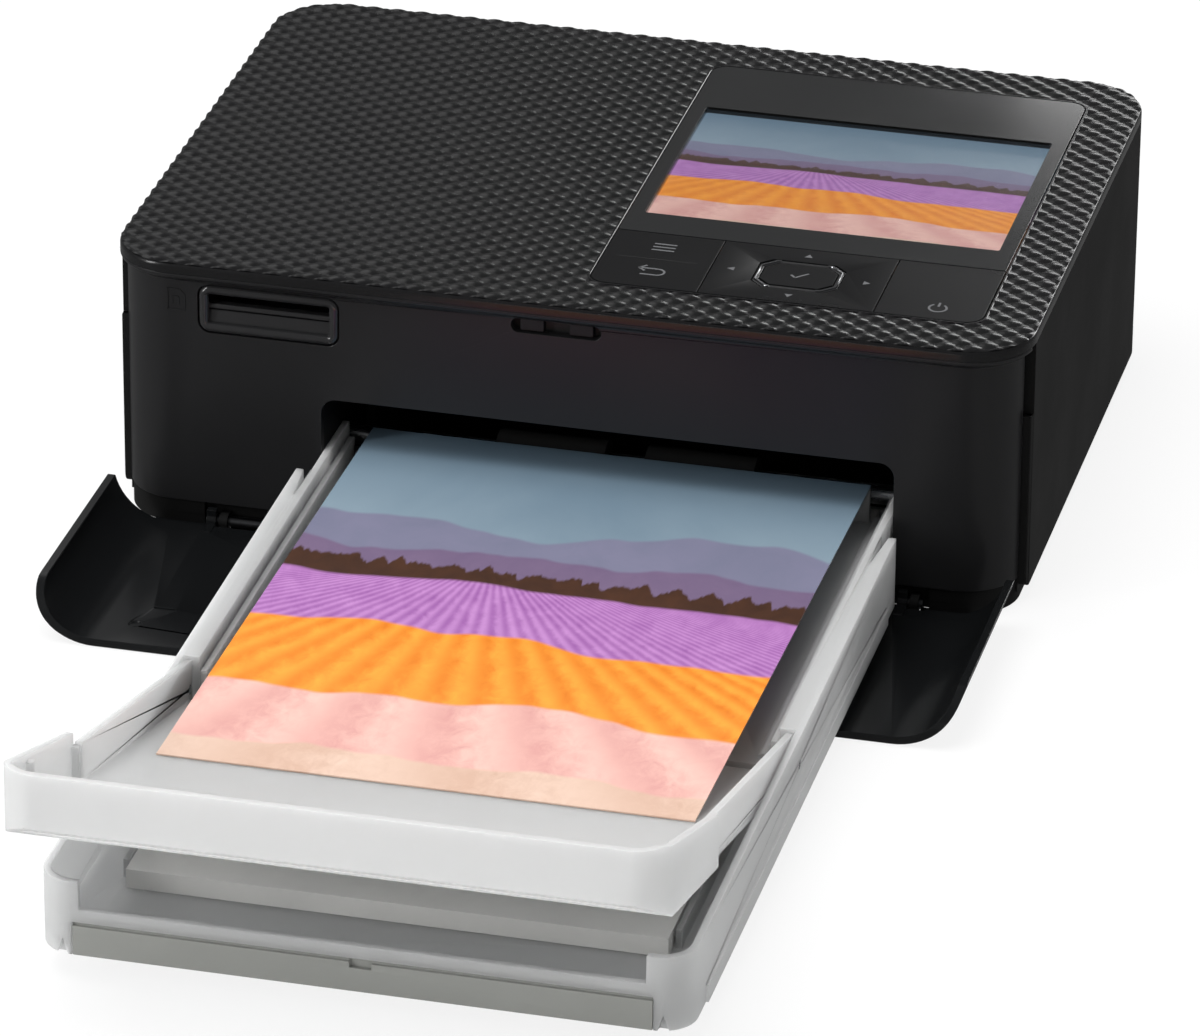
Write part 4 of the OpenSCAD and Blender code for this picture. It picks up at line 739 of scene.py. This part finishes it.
def backlitScreen(name, spec):
    material, tree, shader, spot = startMaterial(name)
    picture = landscapeColour(tree, spot, inFrame(*spec["low"]), inFrame(*spec["high"]), landscape)
    feed(tree, shader, {"Emission Color": picture, "Emission Strength": spec["glow"],
                        "Base Color": toLinear("#0b0c0e"), "Roughness": 0.35})
    return material


# glossy photo paper: dye under a clear, slightly rippled overcoat, printed out to its edges
photoPaper = glossyPrint("photoPaper", printSpec)
finishNode(nodes["photo_print"], photoPaper, 0)
# liquid crystal screen: near black, backlit, a little dim behind its glass
liquidCrystal = backlitScreen("liquidCrystal", screenSpec)
finishNode(nodes["lcd_panel"], liquidCrystal, 0)
print("screen and print have their picture")


# screen window: a smoked border round a clear pane, in place of the drawn plate

window = {"outer": (93.75, 37.525, 171.05, 120.75), "corner": 3.35, "top": 57.5, "bottom": 55.9,
          "soft": 0.1, "softFrom": 50, "pane": (*screenSpec["low"], *screenSpec["high"]),
          "paneCorner": 0.5, "paneThickness": 0.8, "paneSunk": 0.02}


def plateMesh(name, outline, z0, z1, material, hole=None):
    # flat plate, with an opening where a hole is given
    bm = bmesh.new()
    loops = []
    for ring, inner in ((outline, False), (hole, True)):
        if ring is None:
            continue
        low = [bm.verts.new(at(x, y, z0)) for x, y in ring]
        high = [bm.verts.new(at(x, y, z1)) for x, y in ring]
        n = len(ring)
        for i in range(n):
            quad = [low[i], low[(i + 1) % n], high[(i + 1) % n], high[i]]
            bm.faces.new(quad[::-1] if inner else quad)
        loops.append((low, high))
    if hole is None:
        bm.faces.new(loops[0][1])
        bm.faces.new(loops[0][0][::-1])
    else:
        for side, facing in ((0, -1), (1, 1)):
            edges = ringEdges(bm, loops[0][side]) + ringEdges(bm, loops[1][side])
            bmesh.ops.triangle_fill(bm, edges=edges, use_beauty=True, normal=(0, 0, facing))
    bmesh.ops.recalc_face_normals(bm, faces=bm.faces)
    plate = addMesh(name, bm)
    plate.data.materials.append(material)
    return plate


def clearPlastic(name, colour):
    # smears about 20 mm across change its gloss a little
    material, tree, shader, spot = startMaterial(name)
    smear = addNode(tree, "ShaderNodeTexNoise",
                    {"Vector": spot, "Scale": 1 / 20, "Detail": 5, "Roughness": 0.6})
    rough = addNode(tree, "ShaderNodeMapRange",
                    {"Value": smear.outputs["Fac"], "From Min": 0.35, "From Max": 0.7,
                     "To Min": 0.02, "To Max": 0.07})
    feed(tree, shader, {"Roughness": rough.outputs[0], "Base Color": toLinear(colour),
                        "Transmission Weight": 1, "IOR": 1.1})
    return material


# back-painted polycarbonate round the screen: black gloss
smokedPolycarbonate = mouldedPlastic("smokedPolycarbonate", "#121314", 0.16, grain=2.5, depth=0.0015,
                                     mottle=0.03, coat=0.6)
# hard-coated clear polycarbonate over the screen: shows the picture under a thin gloss
clearPolycarbonate = clearPlastic("clearPolycarbonate", "#eef0f2")


def makeWindow(spec):
    # the border is rounded at its back corners and square in front, where the keys begin
    x0, y0, x1, y1 = spec["outer"]
    longer = roundedOutline(x0, y0 - 2 * spec["corner"], x1, y1, spec["corner"], steps=8)
    outline = [p for p in longer if p[1] > y0] + [(x0, y0), (x1, y0)]
    paneOutline = roundedOutline(*spec["pane"], spec["paneCorner"], steps=4)
    border = plateMesh("windowBorder", outline, spec["bottom"], spec["top"], smokedPolycarbonate, paneOutline)
    softenEdges(border, spec["soft"], limit_method="ANGLE", angle_limit=math.radians(spec["softFrom"]),
                harden_normals=True)
    pane = plateMesh("windowPane", paneOutline, spec["top"] - spec["paneThickness"],
                     spec["top"] - spec["paneSunk"], clearPolycarbonate)
    for piece in (border, pane):
        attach(piece, "case")
        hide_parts("screen_window")


makeWindow(window)
print("window border and pane")


# signs on the keys and the front, a thin raised print

# pad-printed grey ink, flat and slightly uneven
greyInk = mouldedPlastic("greyInk", "#5c5d5f", 0.5, grain=0.2, depth=0.002)
# root is how deep a sign sits in its surface, and runOn how far strokes run on, in halves of their width
marks = {"height": 0.06, "root": 0.03, "stroke": 0.45, "runOn": 0.2, "keyTop": 57.5, "frontY": 1.4}

# a line goes from one point to another, and an arc has its middle, radius, two angles and steps;
# both count from the sign's place. The menu key has bars behind and a return arrow in front:
menuSign = {"place": (104.6, 0), "stroke": marks["stroke"],
            "lines": ((-2.2, 29.6, 2.2, 29.6), (-2.2, 31.0, 2.2, 31.0), (-2.2, 32.4, 2.2, 32.4),
                      (-2.6, 20.9, 1.3, 20.9), (-2.6, 20.9, -1.3, 22.1), (-2.6, 20.9, -1.3, 19.7),
                      (-1.8, 18.1, 1.3, 18.1)),
            "arcs": ((1.3, 19.5, 1.4, -90, 90, 10),)}
# groove between its two halves
menuGroove = {"place": (0, 0), "stroke": 0.35, "lines": ((96.6, 25.4, 112.4, 25.4),), "height": 0.02}
# arrow heads at the four ends of the pad, each with its turn in degrees, and a tick on the OK key
pad = {"place": (132.75, 24.9), "head": ((-0.6, -0.8), (0.8, 0), (-0.6, 0.8)),
       "arrows": ((-13.4, 0, 180), (13.4, 0, 0), (0, 9.3, 90), (0, -9.3, -90))}
okSign = {"place": pad["place"], "stroke": marks["stroke"],
          "lines": ((-1.5, 0.1, -0.5, -1.0), (-0.5, -1.0, 1.7, 1.3))}
# open ring with an upright stroke
powerSign = {"place": (161.8, 17.4), "stroke": marks["stroke"], "lines": ((0, 0.7, 0, 2.4),),
             "arcs": ((0, 0, 1.7, 125, 415, 24),)}
# card with a cut corner and its contacts, only embossed, in the colour of the case
cardOutline = {"place": (0, 0), "stroke": 0.3, "height": 0.12,
               "lines": ((12.4, 46.8, 12.4, 51.2), (12.4, 46.8, 15.9, 46.8), (15.9, 46.8, 15.9, 50.1),
                         (12.4, 51.2, 14.8, 51.2), (14.8, 51.2, 15.9, 50.1))}
cardContacts = {"place": (0, 0), "stroke": 0.25,
                "lines": ((13.4, 48.0, 13.4, 49.6), (13.4, 49.6, 14.7, 49.6), (14.7, 48.0, 14.7, 49.6))}


def straightStrokes(spec):
    # each as a closed loop
    loops = []
    px, py = spec["place"]
    for line in spec["lines"]:
        x0, y0, x1, y1 = px + line[0], py + line[1], px + line[2], py + line[3]
        along = Vector((x1 - x0, y1 - y0)).normalized() * spec["stroke"] / 2
        side = Vector((-along.y, along.x))
        a, b = Vector((x0, y0)) - along * marks["runOn"], Vector((x1, y1)) + along * marks["runOn"]
        loops.append([tuple(a - side), tuple(b - side), tuple(b + side), tuple(a + side)])
    return loops


def curvedStrokes(spec):
    # each as a chain of closed loops
    loops = []
    for x, y, radius, start, end, steps in spec["arcs"]:
        cx, cy = spec["place"][0] + x, spec["place"][1] + y
        inner, outer = radius - spec["stroke"] / 2, radius + spec["stroke"] / 2
        for i in range(steps):
            a, b = (math.radians(start + (end - start) * k / steps) for k in (i, i + 1))
            loops.append([(cx + r * math.cos(t), cy + r * math.sin(t)) for r, t in
                          ((inner, a), (outer, a), (outer, b), (inner, b))])
    return loops


def arrowHeads(spec):
    # each as a closed loop of three points
    loops = []
    padX, padY = spec["place"]
    for dx, dy, turn in spec["arrows"]:
        cosT, sinT = math.cos(math.radians(turn)), math.sin(math.radians(turn))
        loops.append([(padX + dx + x * cosT - y * sinT, padY + dy + x * sinT + y * cosT)
                      for x, y in spec["head"]])
    return loops


def makeMark(name, loops, body, material, upright=False, height=marks["height"]):
    # upright marks stand on the front face and are drawn in X and Z
    bm = bmesh.new()
    for loop in loops:
        rows = []
        for level in (-marks["root"], height):
            if upright:
                rows.append([bm.verts.new(at(x, marks["frontY"] - level, z)) for x, z in loop])
            else:
                rows.append([bm.verts.new(at(x, y, marks["keyTop"] + level)) for x, y in loop])
        low, high = rows
        n = len(loop)
        bm.faces.new(high)
        bm.faces.new(low[::-1])
        for i in range(n):
            bm.faces.new((low[i], low[(i + 1) % n], high[(i + 1) % n], high[i]))
    bmesh.ops.recalc_face_normals(bm, faces=bm.faces)
    piece = addMesh(name, bm)
    piece.data.materials.append(material)
    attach(piece, body)


makeMark("menuMarks", straightStrokes(menuSign) + curvedStrokes(menuSign), "menu", greyInk)
makeMark("menuGroove", straightStrokes(menuGroove), "menu", worksAbs,
         height=menuGroove["height"])
makeMark("padArrows", arrowHeads(pad), "pad", greyInk)
makeMark("okTick", straightStrokes(okSign), "ok", greyInk)
makeMark("powerMark", curvedStrokes(powerSign) + straightStrokes(powerSign), "power", greyInk)
makeMark("cardSign", straightStrokes(cardOutline) + straightStrokes(cardContacts), "case", satinAbs,
         upright=True, height=cardOutline["height"])
print("marks on keys and front")


# bright edge of the collar round the OK key: a fine polished bead on its left and right thirds

bead = {"halfWidth": 8.0, "halfDepth": 5.8, "cut": 2.6, "reach": 4.6, "radius": 0.22, "z": 57.5, "sides": 8,
        "sharpFrom": 70}
# chrome plating on plastic, polished: a thin bright line
polishedChrome = bareMetal("polishedChrome", "#9a9b9d", 0.18, spacing=2.0)


def tube(bm, path, radius, sides):
    # a round bar along a level path, with closed ends
    rings = []
    for i, p in enumerate(path):
        ahead = (path[min(i + 1, len(path) - 1)] - path[max(i - 1, 0)]).normalized()
        side = ahead.cross(Vector((0, 0, 1))).normalized()
        up = side.cross(ahead)
        rings.append([bm.verts.new(p + (side * math.cos(t) + up * math.sin(t)) * radius / 1000)
                      for t in (2 * math.pi * k / sides for k in range(sides))])
    for a, b in zip(rings, rings[1:]):
        for k in range(sides):
            bm.faces.new((a[k], a[(k + 1) % sides], b[(k + 1) % sides], b[k]))
    bm.faces.new(rings[0])
    bm.faces.new(rings[-1][::-1])


def makeBead(spec):
    bm = bmesh.new()
    wide, deep, cut = spec["halfWidth"], spec["halfDepth"], spec["cut"]
    corners = [(spec["reach"], deep), (wide - cut, deep), (wide, deep - cut)]
    corners += [(x, -y) for x, y in corners[::-1]]
    padX, padY = pad["place"]
    for sign in (-1, 1):
        path = [at(padX + sign * x, padY + y, spec["z"]) for x, y in corners]
        tube(bm, path, spec["radius"], spec["sides"])
    bmesh.ops.recalc_face_normals(bm, faces=bm.faces)
    addPiece("collarBead", bm, polishedChrome, "case", spec["sharpFrom"])


makeBead(bead)


# dark skirt under the front edge of the case: partly its own lower edge, partly painted shade, a dark sheet
# that closes the gap to the floor where shade falls under the case; with the hinge ledge of the flap before
# it

# low and high are the heights of its two layers, and each goes back that far; between the two
# places of the step it stands back to hingeY, behind the hinge of the flap
shadeSkirt = {"inset": 1.75, "wall": 1.3, "low": (0.35, 2.6), "lowBack": 60, "high": (2.5, 5.42), "highBack": 10.1,
         "step": (19.2, 164.8), "hingeY": 3.3}
ledge = {"y": (-1.6, 2.5), "z": (0.24, 0.72), "strips": ((9.0, 22.4), (24.5, 161.1), (163.2, 173.2))}


def makeShadeSkirt(spec):
    bm = bmesh.new()
    left, right = spec["step"]

    def plan(inset, back):
        # from the right side round the front to the left side
        front = [p for p in caseOutline(inset) if p[1] < case["depth"] / 2]
        rightCorner = [p for p in front if p[0] > case["width"] / 2][::-1]
        leftCorner = [p for p in front if p[0] <= case["width"] / 2][::-1]
        hinge = spec["hingeY"] + inset - spec["inset"]
        return [(case["width"] - inset, back), *rightCorner, (right, inset), (right, hinge), (left, hinge),
                (left, inset), *leftCorner, (inset, back)]

    for (z0, z1), back in ((spec["low"], spec["lowBack"]), (spec["high"], spec["highBack"])):
        outside, inside = plan(spec["inset"], back), plan(spec["inset"] + spec["wall"], back)
        n = len(outside)
        rows = [[bm.verts.new(at(x, y, z)) for x, y in line] for line, z in
                ((outside, z0), (outside, z1), (inside, z1), (inside, z0))]
        for a, b in zip(rows, rows[1:] + rows[:1]):
            for i in range(n - 1):
                bm.faces.new((a[i], a[i + 1], b[i + 1], b[i]))
        for i in (0, n - 1):
            bm.faces.new([row[i] for row in rows])
    bmesh.ops.recalc_face_normals(bm, faces=bm.faces)
    # black plastic reaching down near the floor: painted shade in the gap under the front edge, as well as
    # the lower edge of the case
    addPiece("baseShadeSkirt", bm, mattAbs, "case")


def addBlock(bm, x0, x1, y0, y1, z0, z1):
    outline = ((x0, y0), (x1, y0), (x1, y1), (x0, y1))
    corners = [bm.verts.new(at(x, y, z)) for z in (z0, z1) for x, y in outline]
    for ids in ((3, 2, 1, 0), (4, 5, 6, 7), (0, 1, 5, 4), (1, 2, 6, 5), (2, 3, 7, 6), (3, 0, 4, 7)):
        bm.faces.new([corners[i] for i in ids])


def makeLedge(spec):
    bm = bmesh.new()
    for x0, x1 in spec["strips"]:
        addBlock(bm, x0, x1, *spec["y"], *spec["z"])
    addPiece("flapLedge", bm, polishedAbs, "flap")


makeShadeSkirt(shadeSkirt)
makeLedge(ledge)

# the sprung tongue that closes the lower half of the card slot
slotTongue = {"x": (20.4, 45.1), "y": (2.6, 4.4), "z": (47.25, 48.35), "soft": 0.3}


def makeTongue(spec):
    bm = bmesh.new()
    addBlock(bm, *spec["x"], *spec["y"], *spec["z"])
    tongue = addPiece("cardTongue", bm, collarAbs, "case")
    softenEdges(tongue, spec["soft"], segments=3)


makeTongue(slotTongue)
print("skirt, ledge and card slot")
